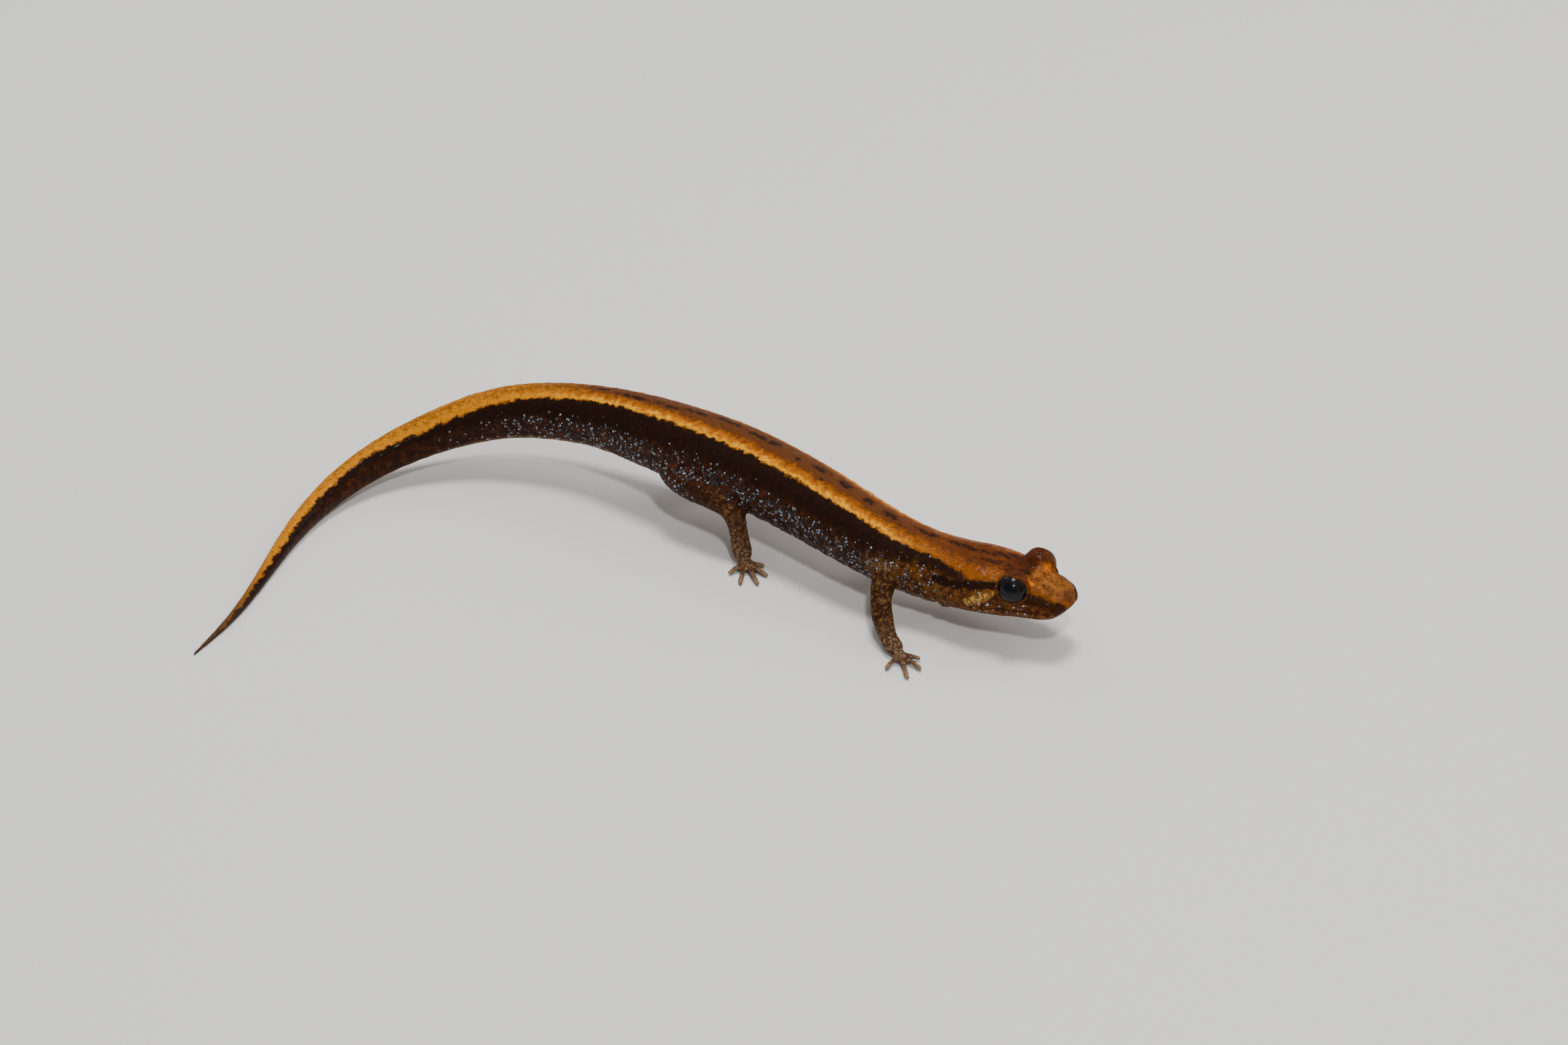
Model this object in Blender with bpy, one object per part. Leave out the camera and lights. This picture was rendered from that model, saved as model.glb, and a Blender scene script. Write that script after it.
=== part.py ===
"""A life-size allegheny mountain dusky salamander, standing, with its tail laid in a curve.

Sizes are in millimetres and become metres where a mesh is made.
The head points to +X and a little to -Y, and +Z is up.
The body is a loft round a bent spine. The distance s runs along the spine from the snout.
A section's angle is 0 on the animal's right side, 90 degrees on its back and 180 on its left.
"""

import math

import bmesh
import bpy
import numpy as np
from mathutils import Vector

MM = 0.001
GAP = 0.3  # space between nodes that touch

# The spine's points in the drawing, and the drawing's point under the middle of the whole box
SPINE = {
    "snout": (19.55, -17.15, 3.65),
    "eyes": (16.75, -15.25, 3.8),
    "jaw": (14.6, -13.95, 3.75),
    "nape": (12.4, -12.75, 3.65),
    "neck": (10.1, -11.6, 3.75),
    "shoulder": (7.6, -10.2, 4.05),
    "ribs": (4.4, -7.4, 4.4),
    "waist": (-0.3, -2.9, 4.85),
    "hip": (-7.1, 2.15, 5.3),
    "vent": (-10.3, 4.35, 5.3),
    "tail_root": (-15.2, 7.0, 5.0),
    "tail_top": (-20.5, 8.1, 4.3),
    "tail_bend": (-25.1, 7.35, 3.2),
    "tail_slope": (-29.8, 4.85, 1.95),
    "tail_landing": (-33.3, 0.7, 0.95),
    "tail_rest": (-35.9, -6.2, 0.5),
    "tail_thin": (-38.2, -13.4, 0.27),
    "tail_tip": (-40.35, -17.74, 0.08),
}
BOX_MIDDLE = (-10.19, -5.51)
FLOOR_PRESS = 0.06  # how far a resting tail or toe is pressed flat

# The body's sections: s, half width, height above the spine, depth below it, squareness
SECTIONS = (
    (0.0, 1.95, 0.95, 0.95, 2.3),
    (1.6, 2.1, 1.15, 1.3, 2.4),
    (3.6, 2.5, 1.5, 1.65, 2.4),
    (5.2, 2.85, 1.72, 1.9, 2.3),
    (6.8, 3.0, 1.9, 2.05, 2.2),
    (8.4, 2.85, 1.97, 2.25, 2.1),
    (10.4, 2.65, 2.05, 2.5, 2.0),
    (13.4, 2.7, 2.22, 2.5, 2.0),
    (18.0, 2.85, 2.55, 2.5, 2.0),
    (24.0, 2.95, 2.75, 2.65, 2.0),
    (30.0, 3.0, 2.8, 2.65, 2.0),
    (33.6, 2.8, 2.65, 2.6, 2.0),
    (36.8, 2.5, 2.5, 2.5, 2.0),
    (39.8, 2.2, 2.33, 2.25, 2.0),
    (43.0, 2.05, 2.15, 2.1, 2.0),
    (48.3, 1.83, 1.9, 1.85, 2.0),
    (53.1, 1.5, 1.6, 1.55, 2.0),
    (59.7, 1.15, 1.2, 1.18, 2.0),
    (66.9, 0.76, 0.78, 0.78, 2.0),
    (74.9, 0.44, 0.46, 0.46, 2.0),
    (80.0, 0.28, 0.29, 0.29, 2.0),
    (84.6, 0.1, 0.1, 0.1, 2.0),
)
SNOUT_ROUNDING = 1.7  # length over which the snout closes
CHIN_SETBACK = 0.18  # how far the chin starts behind the snout
SNOUT_FULLNESS = 2.3

# Where the body is parted
HEAD_END = 9.3
NECK_END = 12.4
TORSO_END = 38.4
TAIL_BASE_END = 52.6
TAIL_MIDDLE_END = 67.6

# Folds of the skin
COSTAL_COUNT = 14
COSTAL_FIRST = 15.0
COSTAL_LAST = 31.8
COSTAL_DEPTH = 0.17
COSTAL_WIDTH = 0.22
GULAR_FOLD = 9.0
GULAR_DEPTH = 0.07  # as a share of the throat's size
GULAR_SPACING = 0.8
FLANK_REACH = 1.15  # how far up and down the grooves run
FLANK_LOWNESS = 0.2
FLANK_FADE = 1.3

# The head
EYE_RADIUS = 1.0
EYE_GAP = 0.2
EYE_DISTANCE = 3.6  # from the snout
EYE_SIDE = 1.82
EYE_RAISE = 1.0
EYE_AXIS = (0.2, 0.87, 0.46)  # forward, outward, up
LID_THICKNESS = 0.15
LID_OPENING = 0.36  # how far out of the eye's middle the lids end
LID_BACK = 0.96  # how far round the eye the lids reach, as a share of half a turn
NOSTRIL_RADIUS = 0.2
NOSTRIL_PLACE = (0.45, 1.14, 0.48)  # s, sideways, up
MOUTH_LINE = ((0.28, -0.12), (1.2, -0.18), (2.6, -0.38), (4.2, -0.52), (5.4, -0.65), (6.3, -1.0))
MOUTH_DEPTH = 0.22
MOUTH_OPENING = 0.13
MOUTH_CLEARANCE = 0.4  # how far the cut of the mouth starts outside the skin
MOUTH_STATIONS = 16

# Legs: points as forward, outward and height, from the spine at the girdle
SHOULDER = 13.8
HIP = 33.2
LEGS = {
    "foreleg_right": {
        "girdle": SHOULDER, "side": 1, "turn": 24.0,
        "points": ((0.4, 0.9, 3.9), (0.9, 2.55, 3.4), (1.4, 3.9, 2.5), (2.3, 5.0, 1.6), (3.35, 5.8, 0.85),
                   (4.5, 6.35, 0.38)),
    },
    "foreleg_left": {
        "girdle": SHOULDER, "side": -1, "turn": 38.0,
        "points": ((-0.2, 0.9, 3.9), (-0.5, 2.6, 3.5), (-0.7, 4.1, 2.6), (0.1, 5.2, 1.6), (1.1, 6.0, 0.85),
                   (1.9, 6.5, 0.38)),
    },
    "hind_leg_right": {
        "girdle": HIP, "side": 1, "turn": 30.0,
        "points": ((-0.3, 0.9, 4.6), (1.6, 2.5, 4.3), (4.4, 3.1, 4.0), (6.4, 3.2, 3.5), (7.5, 3.6, 1.4),
                   (8.3, 4.2, 0.38)),
    },
    "hind_leg_left": {
        "girdle": HIP, "side": -1, "turn": 46.0,
        "points": ((-0.3, 0.9, 4.6), (0.5, 2.8, 4.1), (1.6, 4.6, 3.0), (1.3, 5.7, 1.8), (1.0, 6.7, 0.85),
                   (1.5, 7.5, 0.38)),
    },
}
FORELEG_GIRTH = (1.15, 1.0, 0.8, 0.76, 0.68, 0.8)
HIND_LEG_GIRTH = (1.45, 1.25, 1.0, 0.86, 0.72, 0.85)
WRIST_SHARE = 0.8  # share of a leg's path that lies before the foot
CUTTER_REACH = 9.0  # how far before and behind a girdle a leg is fitted to the body
CUTTER_STATIONS = 37
FORE_TOES = ((-42.0, 1.6), (-8.0, 2.4), (22.0, 3.0), (62.0, 2.1))  # turn outward, reach
HIND_TOES = ((-52.0, 1.55), (-20.0, 2.35), (6.0, 2.95), (32.0, 2.8), (66.0, 1.8))
TOE_RADIUS = 0.27
TOE_TAPER = (1.1, 0.98, 0.95)
TOE_ROOT = 0.15  # how far a toe starts inside the palm
KNUCKLE_SHARE = 0.55
KNUCKLE_HEIGHT = 0.36
TIP_SHARE = 0.9  # height of a toe tip's middle, in toe radii, before it is pressed
LEG_SIDES = 14
TOE_SIDES = 8
BODY_SIDES = 24
HEAD_SIDES = 36
NECK_SIDES = 28
TAIL_SIDES = (22, 18, 14)
PALM_FLATNESS = 0.5
WRIST_FLATNESS = 0.85

MATERIALS = {
    "back": (0.33, 0.15, 0.05),
    "tail": (0.42, 0.17, 0.04),
    "legs": (0.09, 0.05, 0.03),
    "eye": (0.01, 0.008, 0.006),
}


# Curves and sections
def spline(knots, values):
    """A natural cubic spline through the values at the knots, as a function."""
    knots = np.asarray(knots, float)
    values = np.asarray(values, float)
    gaps = np.diff(knots)
    count = len(knots)
    matrix = np.eye(count)
    right_side = np.zeros(values.shape)
    for i in range(1, count - 1):
        matrix[i, i - 1:i + 2] = gaps[i - 1], 2.0 * (gaps[i - 1] + gaps[i]), gaps[i]
        rise = (values[i + 1] - values[i]) / gaps[i] - (values[i] - values[i - 1]) / gaps[i - 1]
        right_side[i] = 6.0 * rise
    bends = np.linalg.solve(matrix, right_side)

    def at(t):
        t = np.clip(np.asarray(t, float), knots[0], knots[-1])
        i = np.clip(np.searchsorted(knots, t, side="right") - 1, 0, count - 2)
        gap = gaps[i]
        before = t - knots[i]
        after = knots[i + 1] - t
        if values.ndim > 1:
            gap, before, after = gap[..., None], before[..., None], after[..., None]
        curved = (bends[i] * after ** 3 + bends[i + 1] * before ** 3) / (6.0 * gap)
        straight = (values[i] / gap - bends[i] * gap / 6.0) * after
        return curved + straight + (values[i + 1] / gap - bends[i + 1] * gap / 6.0) * before

    return at


def path(points, samples=1500):
    """A smooth path through points, as its dense points and the distance along it of each."""
    points = np.asarray(points, float)
    chords = np.concatenate([[0.0], np.cumsum(np.linalg.norm(np.diff(points, axis=0), axis=1))])
    dense = spline(chords, points)(np.linspace(0.0, chords[-1], samples))
    along = np.concatenate([[0.0], np.cumsum(np.linalg.norm(np.diff(dense, axis=0), axis=1))])
    return dense, along


def on_path(dense, along, s):
    """The point and the unit direction at distance s along a path."""
    s = np.asarray(s, float)
    step = along[-1] / (len(along) - 1)
    here = np.stack([np.interp(s, along, dense[:, k]) for k in range(3)], axis=-1)
    back = np.stack([np.interp(s - step, along, dense[:, k]) for k in range(3)], axis=-1)
    ahead = np.stack([np.interp(s + step, along, dense[:, k]) for k in range(3)], axis=-1)
    direction = ahead - back
    return here, direction / np.linalg.norm(direction, axis=-1, keepdims=True)


MIDDLE = np.array([BOX_MIDDLE[0], BOX_MIDDLE[1], 0.0])
SPINE_DENSE, SPINE_ALONG = path([np.array(point) - MIDDLE for point in SPINE.values()])
LENGTH = float(SPINE_ALONG[-1])
SIZES = spline([row[0] for row in SECTIONS], [row[1:] for row in SECTIONS])


def body_frame(s):
    """The spine's point at s, with the directions forward, right and up there."""
    here, tailward = on_path(SPINE_DENSE, SPINE_ALONG, s)
    forward = -tailward
    right = np.cross(forward, [0.0, 0.0, 1.0])
    right /= np.linalg.norm(right, axis=-1, keepdims=True)
    up = np.cross(right, forward)
    return here, forward, right, up


def rounding(distance):
    """The share of its full size that a section has at a distance behind a round end."""
    share = np.clip(np.asarray(distance, float) / SNOUT_ROUNDING, 0.0, 1.0)
    return (1.0 - (1.0 - share) ** SNOUT_FULLNESS) ** (1.0 / SNOUT_FULLNESS)


def bell(distance, width):
    """A smooth bump of height 1."""
    return np.exp(-(np.asarray(distance) / width) ** 2)


def section(s, angle):
    """Sideways and upward offsets of the skin from the spine."""
    sizes = SIZES(s)
    width, top, bottom, square = (sizes[..., k] for k in range(4))
    cosine = np.cos(angle)
    sine = np.sin(angle)
    power = 2.0 / square
    side = width * np.sign(cosine) * np.abs(cosine) ** power
    rise = np.abs(sine) ** power
    snout = rounding(s)
    chin = rounding(s - CHIN_SETBACK)
    above = sine > 0.0
    side = side * np.where(above, snout, snout + (chin - snout) * rise)
    height = np.where(above, top * rise * snout, -bottom * rise * chin)
    grooves = sum(bell(s - groove, COSTAL_WIDTH) for groove in costal_grooves())
    flank = np.clip(FLANK_REACH - FLANK_FADE * (sine + FLANK_LOWNESS) ** 2, 0.0, 1.0)
    shrink = 1.0 - COSTAL_DEPTH / width * grooves * flank
    throat = np.clip(-sine, 0.0, 1.0) ** 2
    folds = bell(s - GULAR_FOLD, 0.4) - bell(s - GULAR_FOLD - GULAR_SPACING, 0.3)
    shrink = shrink + GULAR_DEPTH * throat * folds
    return side * shrink, height * shrink


def costal_grooves():
    """Distances of the grooves between the ribs."""
    return np.linspace(COSTAL_FIRST, COSTAL_LAST, COSTAL_COUNT)


def skin(s, angle, grow=0.0):
    """Points on the skin, or a little outside it where grow is above 0."""
    s, angle = np.broadcast_arrays(np.asarray(s, float), np.asarray(angle, float))
    here, forward, right, up = body_frame(s)
    side, height = section(s, angle)
    reach = np.hypot(side, height)
    stretch = 1.0 + grow / np.maximum(reach, 0.05)
    points = here + right * (side * stretch)[..., None] + up * (height * stretch)[..., None]
    points[..., 2] = np.maximum(points[..., 2], 0.0)
    return points


# Meshes
def make_object(name, points, faces, material=None):
    """One object from points in millimetres."""
    mesh = bpy.data.meshes.new(name)
    mesh.from_pydata([tuple(point * MM) for point in np.asarray(points)], [], faces)
    item = bpy.data.objects.new(name, mesh)
    bpy.context.scene.collection.objects.link(item)
    if material:
        mesh.materials.append(bpy.data.materials[material])
        mesh.shade_smooth()
    return item


def loft(rings):
    """Points and faces of a closed body through rings of equal count, with pointed-in caps."""
    count = len(rings[0])
    points = np.concatenate([*rings, [rings[0].mean(axis=0)], [rings[-1].mean(axis=0)]])
    first_cap = len(rings) * count
    faces = []
    for k in range(len(rings) - 1):
        for i in range(count):
            j = (i + 1) % count
            a, b = k * count, (k + 1) * count
            faces.append((a + i, a + j, b + j, b + i))
    last = (len(rings) - 1) * count
    for i in range(count):
        j = (i + 1) % count
        faces.append((first_cap, j, i))
        faces.append((first_cap + 1, last + i, last + j))
    return points, faces


def body_length(name, stations, sides, material):
    """One length of the body, lofted through the stations."""
    angles = np.arange(sides) * 2.0 * math.pi / sides
    rings = [skin(s, angles) for s in stations]
    return make_object(name, *loft(rings), material)


def tube(points, widths, heights, sides, start=0.0, end=1.0, steps=12, round_end=False):
    """Rings of a bent limb along a path, from the share start to the share end of its length."""
    dense, along = path(points, 300)
    knots = np.linspace(0.0, along[-1], len(widths))
    size = spline(knots, np.column_stack([widths, heights]))
    angles = np.arange(sides) * 2.0 * math.pi / sides
    shares = np.linspace(start, end, steps)
    tapers = np.ones(steps)
    if round_end:
        tip = widths[-1] / along[-1]
        closing = end - tip * np.array([0.5, 0.15, 0.02])
        shares = np.concatenate([np.linspace(start, end - tip, steps), closing])
        tapers = np.concatenate([np.ones(steps), [0.87, 0.53, 0.2]])
    rings = []
    for share, taper in zip(shares, tapers):
        s = share * along[-1]
        here, forward = on_path(dense, along, s)
        right = np.cross(forward, [0.0, 0.0, 1.0])
        right /= np.linalg.norm(right)
        up = np.cross(right, forward)
        width, height = size(s) * taper
        ring = here + np.outer(np.cos(angles) * width, right) + np.outer(np.sin(angles) * height, up)
        rings.append(ring[::-1])
    return rings


def largest_surface(mesh):
    """Keep the largest closed surface of a mesh."""
    work = bmesh.new()
    work.from_mesh(mesh)
    bmesh.ops.dissolve_degenerate(work, edges=work.edges, dist=1e-7)
    unseen = set(work.verts)
    groups = []
    while unseen:
        stack = [unseen.pop()]
        group = list(stack)
        while stack:
            for edge in stack.pop().link_edges:
                for vert in edge.verts:
                    if vert in unseen:
                        unseen.remove(vert)
                        stack.append(vert)
                        group.append(vert)
        groups.append(group)
    groups.sort(key=len, reverse=True)
    for group in groups[1:]:
        bmesh.ops.delete(work, geom=group, context="VERTS")
    bmesh.ops.triangulate(work, faces=work.faces)
    work.to_mesh(mesh)
    work.free()


def fuse(name, pieces, cutters, material):
    """Join closed pieces into one body, cut it, and keep its largest closed surface."""
    base = pieces[0]
    others = bpy.data.collections.new(name + "_pieces")
    for piece in pieces[1:]:
        others.objects.link(piece)
    if len(pieces) > 1:
        union = base.modifiers.new("union", "BOOLEAN")
        union.operation = "UNION"
        union.operand_type = "COLLECTION"
        union.collection = others
    for cutter in cutters:
        cut = base.modifiers.new("cut", "BOOLEAN")
        cut.operation = "DIFFERENCE"
        cut.object = cutter
    graph = bpy.context.evaluated_depsgraph_get()
    mesh = bpy.data.meshes.new_from_object(base.evaluated_get(graph))
    for item in [*pieces, *cutters]:
        bpy.data.objects.remove(item)
    bpy.data.collections.remove(others)
    largest_surface(mesh)
    for vert in mesh.vertices:
        vert.co.z = max(vert.co.z, 0.0)
    mesh.materials.clear()
    mesh.materials.append(bpy.data.materials[material])
    mesh.shade_smooth()
    item = bpy.data.objects.new(name, mesh)
    bpy.context.scene.collection.objects.link(item)
    return item


def ball(name, centre, radius, divisions=3):
    """A round body of triangles."""
    work = bmesh.new()
    bmesh.ops.create_icosphere(work, subdivisions=divisions, radius=radius * MM)
    bmesh.ops.translate(work, verts=work.verts, vec=Vector(centre) * MM)
    mesh = bpy.data.meshes.new(name)
    work.to_mesh(mesh)
    work.free()
    item = bpy.data.objects.new(name, mesh)
    bpy.context.scene.collection.objects.link(item)
    return item


# The head and the eyes
def head_place(s, sideways, raised, side):
    """A point by its distance from the snout, sideways on one side, and up."""
    here, forward, right, up = body_frame(s)
    return here + right * sideways * side + up * raised


def eye_centre(side):
    """The middle of one eye."""
    return head_place(EYE_DISTANCE, EYE_SIDE, EYE_RAISE, side)


def eye_axis(side):
    """The direction in which one eye looks."""
    here, forward, right, up = body_frame(EYE_DISTANCE)
    axis = EYE_AXIS[0] * forward + EYE_AXIS[1] * side * right + EYE_AXIS[2] * up
    return axis / np.linalg.norm(axis)


def lid_ball(name, side):
    """A ball of skin over one eye, cut flat where the lids open."""
    radius = EYE_RADIUS + EYE_GAP + LID_THICKNESS
    axis = eye_axis(side)
    across = np.cross(axis, [0.0, 0.0, 1.0])
    across /= np.linalg.norm(across)
    over = np.cross(across, axis)
    rim = math.acos(LID_OPENING / radius)
    angles = np.arange(BODY_SIDES) * 2.0 * math.pi / BODY_SIDES
    rings = []
    for polar in np.linspace(rim, math.pi * LID_BACK, 9):
        circle = np.outer(np.cos(angles), across) + np.outer(np.sin(angles), over)
        rings.append(eye_centre(side) + axis * radius * math.cos(polar) + circle * radius * math.sin(polar))
    return make_object(name, *loft(rings))


def mouth_cutter():
    """A thin wedge that cuts the line of the mouth from one corner round the snout to the other."""
    line = spline([point[0] for point in MOUTH_LINE], [point[1] for point in MOUTH_LINE])
    first, last = MOUTH_LINE[0][0], MOUTH_LINE[-1][0]
    turns = np.linspace(0.0, math.pi / 2, MOUTH_STATIONS)
    stations = last - (last - first) * np.sin(turns)
    points = []
    for side in (1, -1):
        row = []
        for s in stations:
            bottom = float(SIZES(s)[2] * rounding(s - CHIN_SETBACK + 0.5))
            angle = -math.asin(min(0.98, abs(float(line(s))) / bottom))
            sideways = float(section(s, angle)[0])
            row.append(head_place(s, sideways, float(line(s)), side))
        points.extend(row if side == 1 else row[::-1])
    points = np.array(points)
    headings = np.gradient(points, axis=0)
    outward = np.cross(headings, [0.0, 0.0, 1.0])
    outward[:, 2] = 0.0
    outward /= np.linalg.norm(outward, axis=1, keepdims=True)
    middle = points.mean(axis=0)
    if np.mean(np.sum(outward * (points - middle), axis=1)) < 0.0:
        outward = -outward
    up = np.array([0.0, 0.0, 1.0])
    rings = []
    for point, out in zip(points, outward):
        inner = point - out * MOUTH_DEPTH
        outer = point + out * MOUTH_CLEARANCE
        rings.append(np.array([inner, outer + up * MOUTH_OPENING, outer - up * MOUTH_OPENING]))
    return make_object("mouth_cutter", *loft(rings))


def make_head():
    """The head with its lids, sockets, nostrils and the line of the mouth."""
    start = SNOUT_ROUNDING * (1.0 - np.cos(np.linspace(0.16, math.pi / 2, 9)))
    stations = np.concatenate([start, np.linspace(SNOUT_ROUNDING, HEAD_END - GAP / 2, 20)[1:]])
    pieces = [body_length("head_core", stations, HEAD_SIDES, None)]
    cutters = [mouth_cutter()]
    for side in (1, -1):
        pieces.append(lid_ball(f"lid_{side}", side))
        cutters.append(ball(f"socket_{side}", eye_centre(side), EYE_RADIUS + EYE_GAP))
        nostril = head_place(*NOSTRIL_PLACE, side)
        cutters.append(ball(f"nostril_{side}", nostril, NOSTRIL_RADIUS, 2))
    fuse("head", pieces, cutters, "back")


def make_eyes():
    """Two eyes, each apart from its socket."""
    for name, side in (("eye_right", 1), ("eye_left", -1)):
        item = ball(name, eye_centre(side), EYE_RADIUS)
        item.data.materials.append(bpy.data.materials["eye"])
        item.data.shade_smooth()


# The neck, the torso and the tail
def stations_between(start, end, step):
    """Evenly spaced stations from half a gap inside one cut to half a gap inside the next."""
    first, last = start + GAP / 2, end - GAP / 2
    return np.linspace(first, last, max(2, round((last - first) / step) + 1))


def torso_stations():
    """Stations that are closer over the grooves between the ribs."""
    grooves = costal_grooves()
    spacing = grooves[1] - grooves[0]
    first, last = grooves[0] - spacing / 2, grooves[-1] + spacing / 2
    before = stations_between(NECK_END, first + GAP / 2, 0.6)[:-1]
    ribs = np.linspace(first, last, COSTAL_COUNT * 4 + 1)
    after = stations_between(last - GAP / 2, TORSO_END, 0.7)[1:]
    return np.concatenate([before, ribs, after])


def make_body():
    """The neck, the torso and three lengths of tail."""
    body_length("neck", stations_between(HEAD_END, NECK_END, 0.4), NECK_SIDES, "back")
    body_length("torso", torso_stations(), BODY_SIDES, "back")
    body_length("tail_base", stations_between(TORSO_END, TAIL_BASE_END, 0.9), TAIL_SIDES[0], "tail")
    body_length("tail_middle", stations_between(TAIL_BASE_END, TAIL_MIDDLE_END, 1.0), TAIL_SIDES[1], "tail")
    body_length("tail_end", stations_between(TAIL_MIDDLE_END, LENGTH, 1.1), TAIL_SIDES[2], "tail")


# Legs and feet
def leg_points(leg):
    """A leg's points in the drawing, from its values in the girdle's frame."""
    here, forward, right, up = body_frame(leg["girdle"])
    ahead = np.array([forward[0], forward[1], 0.0])
    ahead /= np.linalg.norm(ahead)
    ground = np.array([here[0], here[1], 0.0])
    rise = np.array([0.0, 0.0, 1.0])
    return [ground + ahead * f + right * o * leg["side"] + rise * z for f, o, z in leg["points"]]


def body_cutter(girdle):
    """The body's skin, one gap bigger, near a girdle."""
    angles = np.arange(BODY_SIDES) * 2.0 * math.pi / BODY_SIDES
    stations = np.linspace(girdle - CUTTER_REACH, girdle + CUTTER_REACH, CUTTER_STATIONS)
    rings = [skin(s, angles, GAP) for s in stations]
    return make_object("body_cutter", *loft(rings))


def make_leg(name):
    """A leg from the body to its wrist or ankle."""
    leg = LEGS[name]
    girth = np.array(FORELEG_GIRTH if "fore" in name else HIND_LEG_GIRTH)
    points = leg_points(leg)
    reach = path(points, 300)[1][-1]
    rings = tube(points, girth, girth, LEG_SIDES, 0.0, WRIST_SHARE - GAP / 2 / reach, 14)
    fuse(name, [make_object(name + "_core", *loft(rings))], [body_cutter(leg["girdle"])], "legs")


def make_foot(name, leg_name):
    """A foot: the palm, and the toes rooted in it."""
    leg = LEGS[leg_name]
    fore = "fore" in name
    girth = np.array(FORELEG_GIRTH if fore else HIND_LEG_GIRTH)
    points = leg_points(leg)
    reach = path(points, 300)[1][-1]
    start = WRIST_SHARE + GAP / 2 / reach
    flat = girth * np.array([1.0, 1.0, 1.0, 1.0, WRIST_FLATNESS, PALM_FLATNESS])
    pieces = [make_object(name + "_palm", *loft(tube(points, girth, flat, LEG_SIDES, start, 1.0, 6, True)))]
    here, forward, right, up = body_frame(leg["girdle"])
    heading = math.atan2(forward[1], forward[0]) - leg["side"] * math.radians(leg["turn"])
    palm = np.array(points[-1])
    for number, (turn, length) in enumerate(FORE_TOES if fore else HIND_TOES):
        angle = heading - leg["side"] * math.radians(turn)
        out = np.array([math.cos(angle), math.sin(angle), 0.0])
        floor = palm * np.array([1.0, 1.0, 0.0])
        rise = np.array([0.0, 0.0, 1.0])
        tip_height = TOE_RADIUS * TIP_SHARE - FLOOR_PRESS
        knuckle = floor + out * length * KNUCKLE_SHARE + rise * KNUCKLE_HEIGHT
        toe = [palm - out * TOE_ROOT, knuckle, floor + out * length + rise * tip_height]
        widths = np.array(TOE_TAPER) * TOE_RADIUS
        rings = tube(toe, widths, widths, TOE_SIDES, 0.0, 1.0, 5, True)
        pieces.append(make_object(f"{name}_toe_{number}", *loft(rings)))
    fuse(name, pieces, [], "legs")


def make_materials():
    """One plain material for each colour of the body."""
    for name, colour in MATERIALS.items():
        material = bpy.data.materials.new(name)
        material.use_nodes = True
        shader = material.node_tree.nodes["Principled BSDF"]
        shader.inputs["Base Color"].default_value = (*colour, 1.0)
        shader.inputs["Roughness"].default_value = 0.15 if name == "eye" else 0.35
        shader.inputs["Metallic"].default_value = 0.0


def main():
    """Build every node."""
    for item in list(bpy.data.objects):
        bpy.data.objects.remove(item)
    make_materials()
    make_head()
    make_eyes()
    make_body()
    for leg_name in LEGS:
        make_leg(leg_name)
        make_foot(leg_name.replace("foreleg", "forefoot").replace("hind_leg", "hind_foot"), leg_name)


main()
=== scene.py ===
"""The looks of a life-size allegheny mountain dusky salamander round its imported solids.

Shapes are worked out in millimetres and become metres where a mesh is finished.
The distance s runs along the spine from the snout, and an angle from the back is 0 on the midline.
"""

import math

import bmesh
import bpy
import numpy as np
from bpy.props import FloatProperty, FloatVectorProperty, IntProperty, PointerProperty
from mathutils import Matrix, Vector, noise
from mathutils.kdtree import KDTree


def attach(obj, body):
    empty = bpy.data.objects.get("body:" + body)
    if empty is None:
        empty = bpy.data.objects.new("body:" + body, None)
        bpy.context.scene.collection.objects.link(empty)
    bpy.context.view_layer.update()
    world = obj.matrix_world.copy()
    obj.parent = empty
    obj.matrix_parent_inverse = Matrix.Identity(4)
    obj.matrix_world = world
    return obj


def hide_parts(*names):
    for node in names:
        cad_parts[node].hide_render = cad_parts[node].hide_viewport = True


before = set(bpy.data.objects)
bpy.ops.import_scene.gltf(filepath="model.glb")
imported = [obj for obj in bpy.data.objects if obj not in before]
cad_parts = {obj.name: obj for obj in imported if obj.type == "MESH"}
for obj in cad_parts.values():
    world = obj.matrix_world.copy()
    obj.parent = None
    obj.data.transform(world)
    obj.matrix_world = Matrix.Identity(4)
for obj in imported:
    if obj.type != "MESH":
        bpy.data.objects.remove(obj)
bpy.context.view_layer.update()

bl_info = {
    "name": "Dusky salamander",
    "version": (1, 0, 0),
    "blender": (4, 5, 0),
    "location": "3D View > Sidebar > Salamander",
    "description": "Skin, eyes, granules and studio of a life-size dusky salamander",
    "category": "Add Mesh",
}

MM = 0.001
BODY = "root"
RISE = np.array([0.0, 0.0, 1.0])
LEVEL = np.array([1.0, 1.0, 0.0])

# The spine's points in the drawing, and the drawing's point under the middle of the whole box
SPINE = {
    "snout": (19.55, -17.15, 3.65),
    "eyes": (16.75, -15.25, 3.8),
    "jaw": (14.6, -13.95, 3.75),
    "nape": (12.4, -12.75, 3.65),
    "neck": (10.1, -11.6, 3.75),
    "shoulder": (7.6, -10.2, 4.05),
    "ribs": (4.4, -7.4, 4.4),
    "waist": (-0.3, -2.9, 4.85),
    "hip": (-7.1, 2.15, 5.3),
    "vent": (-10.3, 4.35, 5.3),
    "tail_root": (-15.2, 7.0, 5.0),
    "tail_top": (-20.5, 8.1, 4.3),
    "tail_bend": (-25.1, 7.35, 3.2),
    "tail_slope": (-29.8, 4.85, 1.95),
    "tail_landing": (-33.3, 0.7, 0.95),
    "tail_rest": (-35.9, -6.2, 0.5),
    "tail_thin": (-38.2, -13.4, 0.27),
    "tail_tip": (-40.35, -17.74, 0.08),
}
BOX_MIDDLE = (-10.19, -5.51)
FLOOR_PRESS = 0.06  # how far a resting tail or toe is pressed flat

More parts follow.
